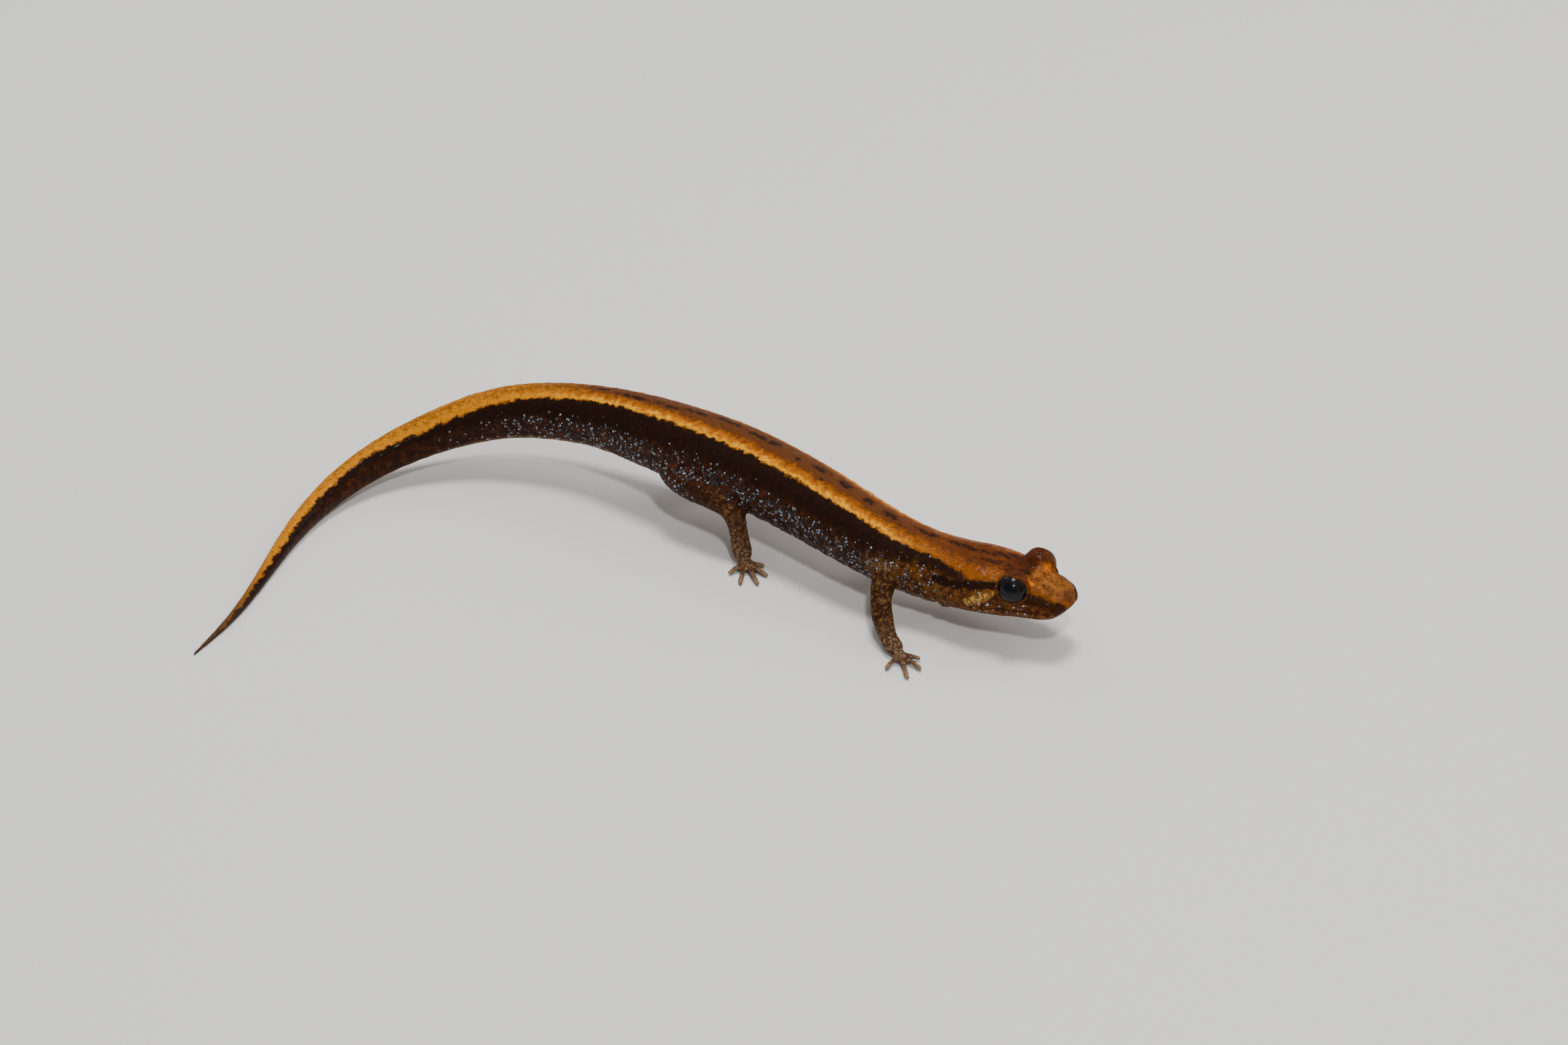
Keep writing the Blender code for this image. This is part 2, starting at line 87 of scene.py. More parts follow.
# The body's sections: s, half width, height above the spine, depth below it, squareness
SECTIONS = (
    (0.0, 1.95, 0.95, 0.95, 2.3),
    (1.6, 2.1, 1.15, 1.3, 2.4),
    (3.6, 2.5, 1.5, 1.65, 2.4),
    (5.2, 2.85, 1.72, 1.9, 2.3),
    (6.8, 3.0, 1.9, 2.05, 2.2),
    (8.4, 2.85, 1.97, 2.25, 2.1),
    (10.4, 2.65, 2.05, 2.5, 2.0),
    (13.4, 2.7, 2.22, 2.5, 2.0),
    (18.0, 2.85, 2.55, 2.5, 2.0),
    (24.0, 2.95, 2.75, 2.65, 2.0),
    (30.0, 3.0, 2.8, 2.65, 2.0),
    (33.6, 2.8, 2.65, 2.6, 2.0),
    (36.8, 2.5, 2.5, 2.5, 2.0),
    (39.8, 2.2, 2.33, 2.25, 2.0),
    (43.0, 2.05, 2.15, 2.1, 2.0),
    (48.3, 1.83, 1.9, 1.85, 2.0),
    (53.1, 1.5, 1.6, 1.55, 2.0),
    (59.7, 1.15, 1.2, 1.18, 2.0),
    (66.9, 0.76, 0.78, 0.78, 2.0),
    (74.9, 0.44, 0.46, 0.46, 2.0),
    (80.0, 0.28, 0.29, 0.29, 2.0),
    (84.6, 0.1, 0.1, 0.1, 2.0),
)
SNOUT_ROUNDING = 1.7
CHIN_SETBACK = 0.18
SNOUT_FULLNESS = 2.3

# Folds between the ribs and under the throat
COSTAL_COUNT = 14
COSTAL_FIRST = 15.0
COSTAL_LAST = 31.8
COSTAL_WIDTH = 0.2
GULAR_FOLD = 9.0
COLLAR_FOLDS = ((10.9, 0.2), (12.1, 0.22))  # s, width
VENT = 36.4
LIMB_CREASES = (  # share of the leg, and from 1 to 2 of the toe, then width and strength
    (0.42, 0.02, 1.0), (0.47, 0.02, 1.0), (0.78, 0.015, 1.0), (0.83, 0.015, 1.0),
    (1.45, 0.04, 0.5), (1.72, 0.04, 0.5),
)

# Eyes and head
EYE_DISTANCE = 3.6
EYE_SIDE = 1.82
EYE_RAISE = 1.0
EYE_AXIS = (0.2, 0.87, 0.46)  # forward, outward, up
NOSTRIL_PLACE = (0.45, 1.14, 0.48)  # s, sideways, up
MOUTH_LINE = ((0.0, -0.1), (1.2, -0.18), (2.6, -0.38), (4.2, -0.52), (5.4, -0.65), (6.3, -1.0))
MOUTH_CORNER = (5.9, 6.4)  # the mouth fades out between these
LIPS = ((0.0, 0.055, -0.085), (0.2, 0.13, 0.045), (-0.17, 0.1, 0.02))  # height over the line, width, relief
NOSTRIL = ((0.0, 0.11, -0.16), (0.23, 0.08, 0.035))  # distance from its middle, width, relief
UPPER_LID = (58.0, 14.0)  # degrees from the eye's axis to the rim, and how far they swing from it
LOWER_LID = (66.0, 6.0)
LID_REACH = 0.9  # how far from the eyeball its lids go
CORNEA_BULGE = 0.05
CORNEA_WIDTH = 38.0

# Ridges, and grooves where the height is below 0: stops as s, sideways and up, then width and height
HEAD_FOLDS = (
    (((0.5, 1.19, 0.38), (0.85, 1.35, -0.25)), 0.05, -0.035),
    (((2.7, 1.5, 1.0), (1.7, 1.25, 0.95), (0.8, 0.95, 0.65)), 0.22, 0.06),
    (((4.8, 2.2, 0.8), (6.6, 2.6, 0.6), (8.2, 2.5, 0.2)), 0.16, -0.07),
    (((6.2, 2.8, -0.2), (7.6, 2.7, -0.4)), 0.9, 0.1),
    (((5.6, 1.2, 1.6), (7.4, 1.3, 1.7)), 0.7, 0.06),
    (((3.0, 0.0, 1.5), (4.6, 0.0, 1.7)), 0.5, -0.07),
    (((5.2, 0.0, 1.9), (9.0, 0.0, 2.0)), 0.22, -0.04),
)
# Pale and dark lines on the head's sides: stops as s, sideways and up, then width
HEAD_LINES = {
    "cream": (((4.7, 2.3, 0.6), (5.6, 2.85, 0.2), (6.6, 2.95, -0.2)), 0.4),
    "after_eye": (((4.6, 2.1, 0.95), (6.2, 2.55, 0.85), (8.0, 2.6, 0.6), (9.5, 2.45, 0.6)), 0.36),
    "canthus": (((3.0, 2.1, 0.8), (2.1, 1.85, 0.6), (1.2, 1.5, 0.4), (0.3, 1.0, 0.1)), 0.46),
}

# Legs: points as forward, outward and height, from the spine at the girdle
SHOULDER = 13.8
HIP = 33.2
CHEST_END = 22.0
LEGS = {
    "foreleg_right": {
        "girdle": SHOULDER, "side": 1, "turn": 24.0,
        "points": ((0.4, 0.9, 3.9), (0.9, 2.55, 3.4), (1.4, 3.9, 2.5), (2.3, 5.0, 1.6), (3.35, 5.8, 0.85),
                   (4.5, 6.35, 0.38)),
    },
    "foreleg_left": {
        "girdle": SHOULDER, "side": -1, "turn": 38.0,
        "points": ((-0.2, 0.9, 3.9), (-0.5, 2.6, 3.5), (-0.7, 4.1, 2.6), (0.1, 5.2, 1.6), (1.1, 6.0, 0.85),
                   (1.9, 6.5, 0.38)),
    },
    "hind_leg_right": {
        "girdle": HIP, "side": 1, "turn": 30.0,
        "points": ((-0.3, 0.9, 4.6), (1.6, 2.5, 4.3), (4.4, 3.1, 4.0), (6.4, 3.2, 3.5), (7.5, 3.6, 1.4),
                   (8.3, 4.2, 0.38)),
    },
    "hind_leg_left": {
        "girdle": HIP, "side": -1, "turn": 46.0,
        "points": ((-0.3, 0.9, 4.6), (0.5, 2.8, 4.1), (1.6, 4.6, 3.0), (1.3, 5.7, 1.8), (1.0, 6.7, 0.85),
                   (1.5, 7.5, 0.38)),
    },
}
# Half widths down each leg, and its toes
FORELEG_GIRTH = (1.15, 1.0, 0.8, 0.76, 0.68, 0.8)
HIND_LEG_GIRTH = (1.45, 1.25, 1.0, 0.86, 0.72, 0.85)
LEG_FLATNESS = (1.0, 1.0, 1.0, 1.0, 0.85, 0.5)  # height as a share of width
FORE_TOES = ((-42.0, 1.6), (-8.0, 2.4), (22.0, 3.0), (62.0, 2.1))  # turn outward, reach
HIND_TOES = ((-52.0, 1.55), (-20.0, 2.35), (6.0, 2.95), (32.0, 2.8), (66.0, 1.8))
TOE_RADIUS = 0.26
TOE_GIRTH = (1.05, 0.9, 0.82, 0.92, 0.85)  # shares of the radius, from the palm to the tip
LIMB_NEAR = (1.6, 2.2)  # skin nearer to a leg's middle than this belongs to the leg
FLESH_NODES = ("head", "neck", "torso", "tail_base", "tail_middle", "tail_end",
               "foreleg_left", "foreleg_right", "forefoot_left", "forefoot_right",
               "hind_leg_left", "hind_leg_right", "hind_foot_left", "hind_foot_right")

# Where the stripe lies: s, its middle's angle and its half width in degrees, right side positive
STRIPE = (
    (4.6, 0.0, 52.0),
    (6.6, 0.0, 58.0),
    (8.4, 0.0, 50.0),
    (10.0, -3.0, 44.0),
    (13.0, -6.0, 44.0),
    (16.0, -8.0, 37.0),
    (24.0, -8.0, 39.0),
    (37.0, -7.0, 38.0),
    (44.0, -5.0, 37.0),
    (50.0, -2.0, 42.0),
    (54.0, -4.0, 46.0),
    (58.6, -14.0, 36.0),
    (68.0, -14.0, 38.0),
    (76.0, -16.0, 36.0),
    (84.0, -16.0, 40.0),
)

# Dark marks along the back: s, angle, half length, half width and strength
BACK_MARKS = (
    (1.7, -17, 0.4, 0.3, 0.9), (1.9, 28, 0.35, 0.25, 0.8),
    (3.7, 6, 0.5, 0.5, 0.9), (3.9, -20, 0.6, 0.5, 1), (4.7, -34, 0.8, 0.5, 1),
    (5.2, 9, 0.7, 0.28, 0.8), (5.7, -18, 1, 0.26, 0.9), (6, 18, 0.9, 0.26, 0.8),
    (6.6, -8, 0.8, 0.24, 0.8), (7.8, -3, 0.9, 0.18, 0.8), (8.9, -8, 1.1, 0.26, 1),
    (11.6, -8, 0.91, 0.28, 1), (13.4, 4, 0.52, 0.21, 0.6), (14.6, -6, 0.78, 0.28, 0.9),
    (16.6, -10, 0.52, 0.31, 0.9), (18.9, -11, 0.72, 0.34, 1), (20.6, 8, 0.29, 0.22, 0.8),
    (21.4, -12, 0.91, 0.31, 0.9), (23.4, -4, 0.45, 0.21, 0.6), (25.7, -11, 0.59, 0.35, 1),
    (27, -10, 1.04, 0.28, 0.8), (29.8, -14, 1.69, 0.28, 0.7), (32.4, -8, 1.17, 0.28, 0.6),
    (34.6, 0, 1.17, 0.28, 0.7), (37.4, 2, 1.56, 0.28, 0.7), (40.4, -4, 1.56, 0.25, 0.5),
)

# How fine the meshes are
BODY_SIDES = 72
RING_STEP = 0.3
LIMB_SIDES, LIMB_STEPS = 28, 40
TOE_SIDES, TOE_STEPS = 16, 14
TIP_RINGS = 5
EYE_SIDES = 48
LID_SIDES = 32
FIRST_SMOOTHING = (0.5, 6)  # weight, rounds
LAST_SMOOTHING = (0.3, 2)
TAIL_UNSMOOTHED = (60.0, 66.0)  # the last smoothing fades out between these, so that the tip keeps its size
HEAD_FINE_END = 8.2  # the skin has smaller faces from the snout to here
HEAD_FINE_REACH = 12.0  # and no further than this from there, so that no foot is in it
HEAD_FINE_FLOOR = 1.2

# Granules
THINNING_SCALE = 0.9  # of the noise that thins them out from point to point
DOME_SEGMENTS, DOME_RINGS = 8, 4
DOME_FLATNESS = 0.38
TINT_SEED = 11

# Camera and studio, in metres, degrees, millimetres of lens and watts
CAMERA_ELEVATION = 31.0
CAMERA_DISTANCE = 0.36
CAMERA_LENS = 116.0
CAMERA_SENSOR = 36.0
CAMERA_CLIP = 0.01
CAMERA_AIM = (10.19 * MM, 5.51 * MM, 0.0)
FLOOR_HALF = 1.5
WORLD_COLOUR = (0.95, 0.97, 1.0, 1.0)
WORLD_STRENGTH = 0.36
LIGHTS = (  # name, place, width, power
    ("key", (0.03, 0.08, 0.52), 0.16, 1.8),
    ("fill", (-0.22, 0.4, 0.34), 0.3, 0.4),
    ("side", (0.42, 0.16, 0.3), 0.3, 0.7),
    ("glint", (0.05, -0.25, 0.32), 0.035, 0.6),
)


def srgb(red, green, blue):
    """A screen colour of 0 to 255 as a linear colour of 0 to 1."""
    shares = [value / 255.0 for value in (red, green, blue)]
    return tuple(s / 12.92 if s <= 0.04045 else ((s + 0.055) / 1.055) ** 2.4 for s in shares)


# Curves and sections
def spline(knots, values):
    """A natural cubic spline through the values at the knots, as a function."""
    knots = np.asarray(knots, float)
    values = np.asarray(values, float)
    gaps = np.diff(knots)
    count = len(knots)
    matrix = np.eye(count)
    right_side = np.zeros(values.shape)
    for i in range(1, count - 1):
        matrix[i, i - 1:i + 2] = gaps[i - 1], 2.0 * (gaps[i - 1] + gaps[i]), gaps[i]
        rise = (values[i + 1] - values[i]) / gaps[i] - (values[i] - values[i - 1]) / gaps[i - 1]
        right_side[i] = 6.0 * rise
    bends = np.linalg.solve(matrix, right_side)

    def at(t):
        t = np.clip(np.asarray(t, float), knots[0], knots[-1])
        i = np.clip(np.searchsorted(knots, t, side="right") - 1, 0, count - 2)
        gap = gaps[i]
        before = t - knots[i]
        after = knots[i + 1] - t
        if values.ndim > 1:
            gap, before, after = gap[..., None], before[..., None], after[..., None]
        curved = (bends[i] * after ** 3 + bends[i + 1] * before ** 3) / (6.0 * gap)
        straight = (values[i] / gap - bends[i] * gap / 6.0) * after
        return curved + straight + (values[i + 1] / gap - bends[i + 1] * gap / 6.0) * before

    return at


def unit(direction):
    """Directions with a length of 1."""
    return direction / np.linalg.norm(direction, axis=-1, keepdims=True)


def full_turn(sides):
    """Even angles all the way round."""
    return np.arange(sides) * 2.0 * math.pi / sides


def distances_along(points):
    """How far along a line of points each one lies."""
    return np.concatenate([[0.0], np.cumsum(np.linalg.norm(np.diff(points, axis=0), axis=1))])


def path(points, samples=1500):
    """A smooth path through points, as its dense points and the distance along it of each."""
    chords = distances_along(points)
    dense = spline(chords, points)(np.linspace(0.0, chords[-1], samples))
    return dense, distances_along(dense)


def on_path(dense, along, s):
    """The point and the unit direction at distance s along a path."""
    s = np.asarray(s, float)
    step = along[-1] / (len(along) - 1)

    def at(distance):
        return np.stack([np.interp(distance, along, dense[:, k]) for k in range(3)], axis=-1)

    return at(s), unit(at(s + step) - at(s - step))


MIDDLE = np.array([BOX_MIDDLE[0], BOX_MIDDLE[1], 0.0])
SPINE_DENSE, SPINE_ALONG = path([np.array(point) - MIDDLE for point in SPINE.values()])
LENGTH = float(SPINE_ALONG[-1])
SIZES = spline([row[0] for row in SECTIONS], [row[1:] for row in SECTIONS])


def body_frame(s):
    """The spine's point at s, with the directions forward, right and up there."""
    here, tailward = on_path(SPINE_DENSE, SPINE_ALONG, s)
    right = unit(np.cross(-tailward, RISE))
    return here, -tailward, right, np.cross(right, -tailward)


def rounding(distance):
    """The share of its full size that a section has at a distance behind a round end."""
    share = np.clip(np.asarray(distance, float) / SNOUT_ROUNDING, 0.0, 1.0)
    return (1.0 - (1.0 - share) ** SNOUT_FULLNESS) ** (1.0 / SNOUT_FULLNESS)


def bell(distance, width):
    """A smooth bump of height 1."""
    return np.exp(-(np.asarray(distance) / width) ** 2)


def ease(value, low, high):
    """A smooth step from 0 at low to 1 at high."""
    share = np.clip((np.asarray(value, float) - low) / (high - low), 0.0, 1.0)
    return share * share * (3.0 - 2.0 * share)


def section(s, angle):
    """Sideways and upward offsets of the plain body from the spine; angle 0 is the right side."""
    sizes = SIZES(s)
    width, top, bottom, square = (sizes[..., k] for k in range(4))
    cosine = np.cos(angle)
    sine = np.sin(angle)
    power = 2.0 / square
    side = width * np.sign(cosine) * np.abs(cosine) ** power
    rise = np.abs(sine) ** power
    snout = rounding(s)
    chin = rounding(s - CHIN_SETBACK)
    side = side * np.where(sine > 0.0, snout, snout + (chin - snout) * rise)
    height = np.where(sine > 0.0, top * rise * snout, -bottom * rise * chin)
    return side, height


def body_ring(s, sides):
    """One ring of the plain body."""
    angles = full_turn(sides)
    here, forward, right, up = body_frame(s)
    side, height = section(np.full(sides, s), angles)
    return here + side[:, None] * right + height[:, None] * up


# Meshes
def loft(rings):
    """Points and faces of a closed body through rings of equal count."""
    count = len(rings[0])
    points = np.concatenate([*rings, [rings[0].mean(axis=0)], [rings[-1].mean(axis=0)]])
    first_cap = len(rings) * count
    faces = []
    for k in range(len(rings) - 1):
        for i in range(count):
            j = (i + 1) % count
            a, b = k * count, (k + 1) * count
            faces.append((a + i, a + j, b + j, b + i))
    last = (len(rings) - 1) * count
    for i in range(count):
        j = (i + 1) % count
        faces.append((first_cap, j, i))
        faces.append((first_cap + 1, last + i, last + j))
    return points, faces


def tube(points, widths, heights, sides, steps):
    """Rings of a bent limb with a round end, along a path."""
    dense, along = path(points, 300)
    knots = np.linspace(0.0, along[-1], len(widths))
    size = spline(knots, np.column_stack([widths, heights]))
    angles = full_turn(sides)
    tip = widths[-1]
    turns = np.linspace(0.25, 0.97, TIP_RINGS) * math.pi / 2
    distances = np.append(np.linspace(0.0, along[-1] - tip, steps), along[-1] - tip + tip * np.sin(turns))
    tapers = np.append(np.ones(steps), np.cos(turns))
    rings = []
    for s, taper in zip(distances, tapers):
        here, forward = on_path(dense, along, s)
        right = unit(np.cross(forward, RISE))
        width, height = size(s) * taper
        across = np.outer(np.cos(angles) * width, right)
        upward = np.outer(np.sin(angles) * height, np.cross(right, forward))
        rings.append((here + across + upward)[::-1])
    return rings


def ball(centre, radius, sides=EYE_SIDES):
    """Points and faces of a round body."""
    angles = full_turn(sides)
    rings = []
    for polar in np.linspace(0.02, math.pi - 0.02, sides // 2):
        ring = np.column_stack([np.cos(angles), np.sin(angles), np.zeros(sides)]) * math.sin(polar)
        rings.append(np.array(centre) + radius * (ring + RISE * math.cos(polar)))
    return loft(rings)


def new_object(name, mesh):
    """Put a mesh in the scene as an object at the origin."""
    item = bpy.data.objects.new(name, mesh)
    bpy.context.scene.collection.objects.link(item)
    return item


def applied(item, name):
    """The mesh that an object's modifiers give; the object and its own mesh are removed."""
    graph = bpy.context.evaluated_depsgraph_get()
    mesh = bpy.data.meshes.new_from_object(item.evaluated_get(graph))
    old = item.data
    bpy.data.objects.remove(item)
    bpy.data.meshes.remove(old)
    mesh.name = name
    return mesh


def new_mesh(name, points, faces):
    """A mesh of points and faces."""
    mesh = bpy.data.meshes.new(name)
    mesh.from_pydata(np.asarray(points).tolist(), [], faces)
    return mesh


def triples(items, name):
    """Three numbers of each point of a mesh, as rows."""
    rows = np.empty(len(items) * 3)
    items.foreach_get(name, rows)
    return rows.reshape(-1, 3)


def set_points(mesh, points):
    """Move a mesh's points."""
    mesh.vertices.foreach_set("co", points.ravel())
    mesh.update()


def relax(mesh, points, weight, rounds):
    """Smooth points towards the middle of their neighbours."""
    edges = np.empty(len(mesh.edges) * 2, dtype=np.int64)
    mesh.edges.foreach_get("vertices", edges)
    edges = edges.reshape(-1, 2)
    count = len(points)
    degree = np.bincount(edges.ravel(), minlength=count)[:, None]
    weight = np.broadcast_to(weight, (count,))[:, None]
    for _ in range(rounds):
        total = np.zeros((count, 3))
        for k in range(3):
            total[:, k] = np.bincount(edges[:, 0], points[edges[:, 1], k], count)
            total[:, k] += np.bincount(edges[:, 1], points[edges[:, 0], k], count)
        points = points + weight * (total / degree - points)
    return points


def store(mesh, name, values):
    """Keep one number for each point of a mesh."""
    layer = mesh.attributes.new(name, "FLOAT", "POINT")
    layer.data.foreach_set("value", np.asarray(values, dtype=np.float32))


# Places on the animal
def head_place(s, sideways, raised, side):
    """A point by its distance from the snout, sideways on one side, and up."""
    here, forward, right, up = body_frame(s)
    return here + right * sideways * side + up * raised


def eye_frame(side):
    """The middle of an eye, with the directions in which it looks, forward across it and over it."""
    here, forward, right, up = body_frame(EYE_DISTANCE)
    axis = unit(EYE_AXIS[0] * forward + EYE_AXIS[1] * side * right + EYE_AXIS[2] * up)
    ahead = unit(forward - axis * (forward @ axis))
    over = np.cross(axis, ahead)
    if over[2] < 0.0:
        over = -over
    return head_place(EYE_DISTANCE, EYE_SIDE, EYE_RAISE, side), axis, ahead, over


def around_eye(points, centre, axis):
    """Each point's distance and direction from an eye's middle, and its angle from the eye's axis."""
    offset = points - centre
    distance = np.linalg.norm(offset, axis=1)
    direction = offset / distance[:, None]
    return distance, direction, np.degrees(np.arccos(np.clip(direction @ axis, -1.0, 1.0)))


def leg_points(leg):
    """A leg's points in the drawing, from its values in the girdle's frame."""
    here, forward, right, up = body_frame(leg["girdle"])
    ahead = unit(forward * LEVEL)
    ground = here * LEVEL
    return [ground + ahead * f + right * o * leg["side"] + RISE * z for f, o, z in leg["points"]]


def toe_paths(name, leg):
    """Three points for each toe of a leg's foot."""
    here, forward, right, up = body_frame(leg["girdle"])
    heading = math.atan2(forward[1], forward[0]) - leg["side"] * math.radians(leg["turn"])
    palm = np.array(leg_points(leg)[-1])
    floor = palm * LEVEL
    toes = []
    for turn, length in (FORE_TOES if "fore" in name else HIND_TOES):
        angle = heading - leg["side"] * math.radians(turn)
        out = np.array([math.cos(angle), math.sin(angle), 0.0])
        toes.append([palm - out * 0.15, floor + out * length * 0.55 + RISE * 0.36,
                     floor + out * length + RISE * (TOE_RADIUS * 0.9 - FLOOR_PRESS)])
    return toes


def search_tree(places):
    """A tree that finds the nearest of some places."""
    tree = KDTree(len(places))
    for number, place in enumerate(places):
        tree.insert(place, number)
    tree.balance()
    return tree


class Places:
    """Where each point of the skin lies on the animal."""

    def __init__(self, points):
        tree = search_tree(SPINE_DENSE)
        rough = SPINE_ALONG[[tree.find(point)[1] for point in points]]
        here, forward, right, up = body_frame(rough)
        self.s = np.clip(rough - np.sum((points - here) * forward, axis=1), 0.0, LENGTH)
        here, forward, right, up = body_frame(self.s)
        offset = points - here
        self.side = np.sum(offset * right, axis=1)
        self.rise = np.sum(offset * up, axis=1)
        sizes = SIZES(self.s)
        self.width = sizes[:, 0]
        self.reach = np.hypot(self.side, self.rise)
        height = np.where(self.rise > 0.0, sizes[:, 1], sizes[:, 2])
        plain = section(self.s, np.arctan2(self.rise / height, self.side / self.width))
        self.excess = self.reach - np.hypot(*plain)
        self.angle = np.degrees(np.arctan2(self.side, self.rise))
        self.limb, self.limb_share = self.find_limbs(points)

    def find_limbs(self, points):
        """How far each point belongs to a leg, and how far down the leg it is."""
        samples, shares = [], []
        for name, leg in LEGS.items():
            dense, along = path(leg_points(leg), 60)
            samples.extend(dense)
            shares.extend(along / along[-1])
            for toe in toe_paths(name, leg):
                dense, along = path(toe, 12)
                samples.extend(dense)
                shares.extend(1.0 + along / along[-1])
        tree = search_tree(samples)
        found = [tree.find(point) for point in points]
        distance = np.array([hit[2] for hit in found])
        share = np.array([shares[hit[1]] for hit in found])
        near = 1.0 - ease(distance, *LIMB_NEAR)
        return near * ease(self.excess, 0.08, 0.5), share


# The skin's shape
def skin_core(settings):
    """One closed skin over the whole body, still without its folds."""
    snout = SNOUT_ROUNDING * (1.0 - np.cos(np.linspace(0.05, math.pi / 2, 16)))
    rest = np.arange(SNOUT_ROUNDING + RING_STEP / 2, LENGTH, RING_STEP)
    parts = [loft([body_ring(s, BODY_SIDES) for s in [*snout, *rest, LENGTH]])]
    for side in (1, -1):
        parts.append(ball(eye_frame(side)[0], settings.eye_radius / MM + settings.lid_depth / MM, LID_SIDES))
    for name, leg in LEGS.items():
        girth = np.array(FORELEG_GIRTH if "fore" in name else HIND_LEG_GIRTH)
        flat = girth * np.array(LEG_FLATNESS)
        parts.append(loft(tube(leg_points(leg), girth, flat, LIMB_SIDES, LIMB_STEPS)))
        widths = np.array(TOE_GIRTH) * TOE_RADIUS
        for toe in toe_paths(name, leg):
            parts.append(loft(tube(toe, widths, widths, TOE_SIDES, TOE_STEPS)))
    points, faces, base = [], [], 0
    for part_points, part_faces in parts:
        points.append(part_points)
        faces.extend([tuple(base + i for i in face) for face in part_faces])
        base += len(part_points)
    item = new_object("skin_core", new_mesh("skin_core", np.concatenate(points), faces))
    remesh = item.modifiers.new("one_skin", "REMESH")
    remesh.mode = "VOXEL"
    remesh.voxel_size = settings.face_size / MM
    return applied(item, "skin")


def refine_head(mesh):
    """Give the head smaller faces than the rest of the skin."""
    points = triples(mesh.vertices, "co")
    snout, nape = body_frame(0.0)[0], body_frame(HEAD_FINE_END)[0]
    chosen = (points - nape) @ (snout - nape) > 0.0
    chosen &= np.linalg.norm(points - nape, axis=1) < HEAD_FINE_REACH
    chosen &= points[:, 2] > HEAD_FINE_FLOOR
    work = bmesh.new()
    work.from_mesh(mesh)
    work.verts.ensure_lookup_table()
    edges = [edge for edge in work.edges if all(chosen[vert.index] for vert in edge.verts)]
    bmesh.ops.subdivide_edges(work, edges=edges, cuts=1, use_grid_fill=True)
    work.to_mesh(mesh)
    work.free()


def line_bump(places, stops, width, height):
    """A ridge, or a groove where height is below 0, along a line of stops on both sides."""
    here = np.column_stack([places.s, np.abs(places.side), places.rise])
    nearest = np.full(len(here), np.inf)
    for start, end in zip(stops[:-1], stops[1:]):
        start, end = np.array(start), np.array(end)
        along = end - start
        share = np.clip((here - start) @ along / (along @ along), 0.0, 1.0)
        nearest = np.minimum(nearest, np.linalg.norm(here - start - share[:, None] * along, axis=1))
    return height * bell(nearest, width)


def by_mouth(places):
    """Each point's height above the line of the mouth, and a mask of the mouth's length."""
    mouth = spline([stop[0] for stop in MOUTH_LINE], [stop[1] for stop in MOUTH_LINE])
    return places.rise - mouth(places.s), 1.0 - ease(places.s, *MOUTH_CORNER)


def head_relief(places):
    """How far the head's folds and swellings stand out of the plain head."""
    above, length = by_mouth(places)
    relief = sum(high * bell(above - place, width) for place, width, high in LIPS) * length
    s, side, rise = NOSTRIL_PLACE
    nostril = np.sqrt((places.s - s) ** 2 + (np.abs(places.side) - side) ** 2 + (places.rise - rise) ** 2)
    relief += sum(high * bell(nostril - place, width) for place, width, high in NOSTRIL)
    for stops, width, height in HEAD_FOLDS:
        relief += line_bump(places, stops, width, height)
    return relief * (1.0 - places.limb)


def body_relief(places, settings):
    """How far the folds of the neck, the trunk and the tail stand out of the plain body."""
    grooves = np.zeros(len(places.s))
    for groove in np.linspace(COSTAL_FIRST, COSTAL_LAST, COSTAL_COUNT):
        lean = 0.12 * np.sin(groove * 7.3 + places.rise)
        grooves += bell(places.s - groove - lean, COSTAL_WIDTH)
    turn = np.abs(places.angle)
    flank = ease(turn, 30.0, 62.0) * (1.0 - ease(turn, 150.0, 172.0))
    relief = -settings.groove_depth / MM * grooves * flank
    fold = 0.13 * bell(places.s - GULAR_FOLD, 0.35) - 0.16 * bell(places.s - GULAR_FOLD - 0.55, 0.2)
    relief += ease(turn, 70.0, 120.0) * fold
    for s, width in COLLAR_FOLDS:
        relief -= 0.06 * ease(turn, 45.0, 75.0) * bell(places.s - s, width)
    midline = ease(places.s, 9.0, 12.0) * (1.0 - ease(places.s, 36.0, 44.0)) * ease(places.rise, 0.5, 1.5)
    relief -= 0.05 * bell(places.side, 0.25) * midline
    vent = bell(places.side, 0.16) * bell(places.s - VENT, 0.7)
    lips = bell(np.abs(places.side) - 0.35, 0.22) * bell(places.s - VENT, 0.9)
    relief += (0.1 * lips - 0.14 * vent) * (places.rise < 0.0)
    return relief * (1.0 - places.limb)


def fine_relief(points, places):
    """Small unevenness of wet skin."""
    relief = np.array([0.035 * noise.noise(Vector(point) * 1.7) + 0.012 * noise.noise(Vector(point) * 4.3)
                       for point in points])
    taper = np.clip(places.width / 1.5, 0.15, 1.0)
    return relief * taper * (1.0 - 0.6 * places.limb)


def limb_relief(places):
    """Creases at the elbows, the wrists and the toes' joints."""
    creases = sum(high * bell(places.limb_share - share, width) for share, width, high in LIMB_CREASES)
    return -0.035 * creases * places.limb


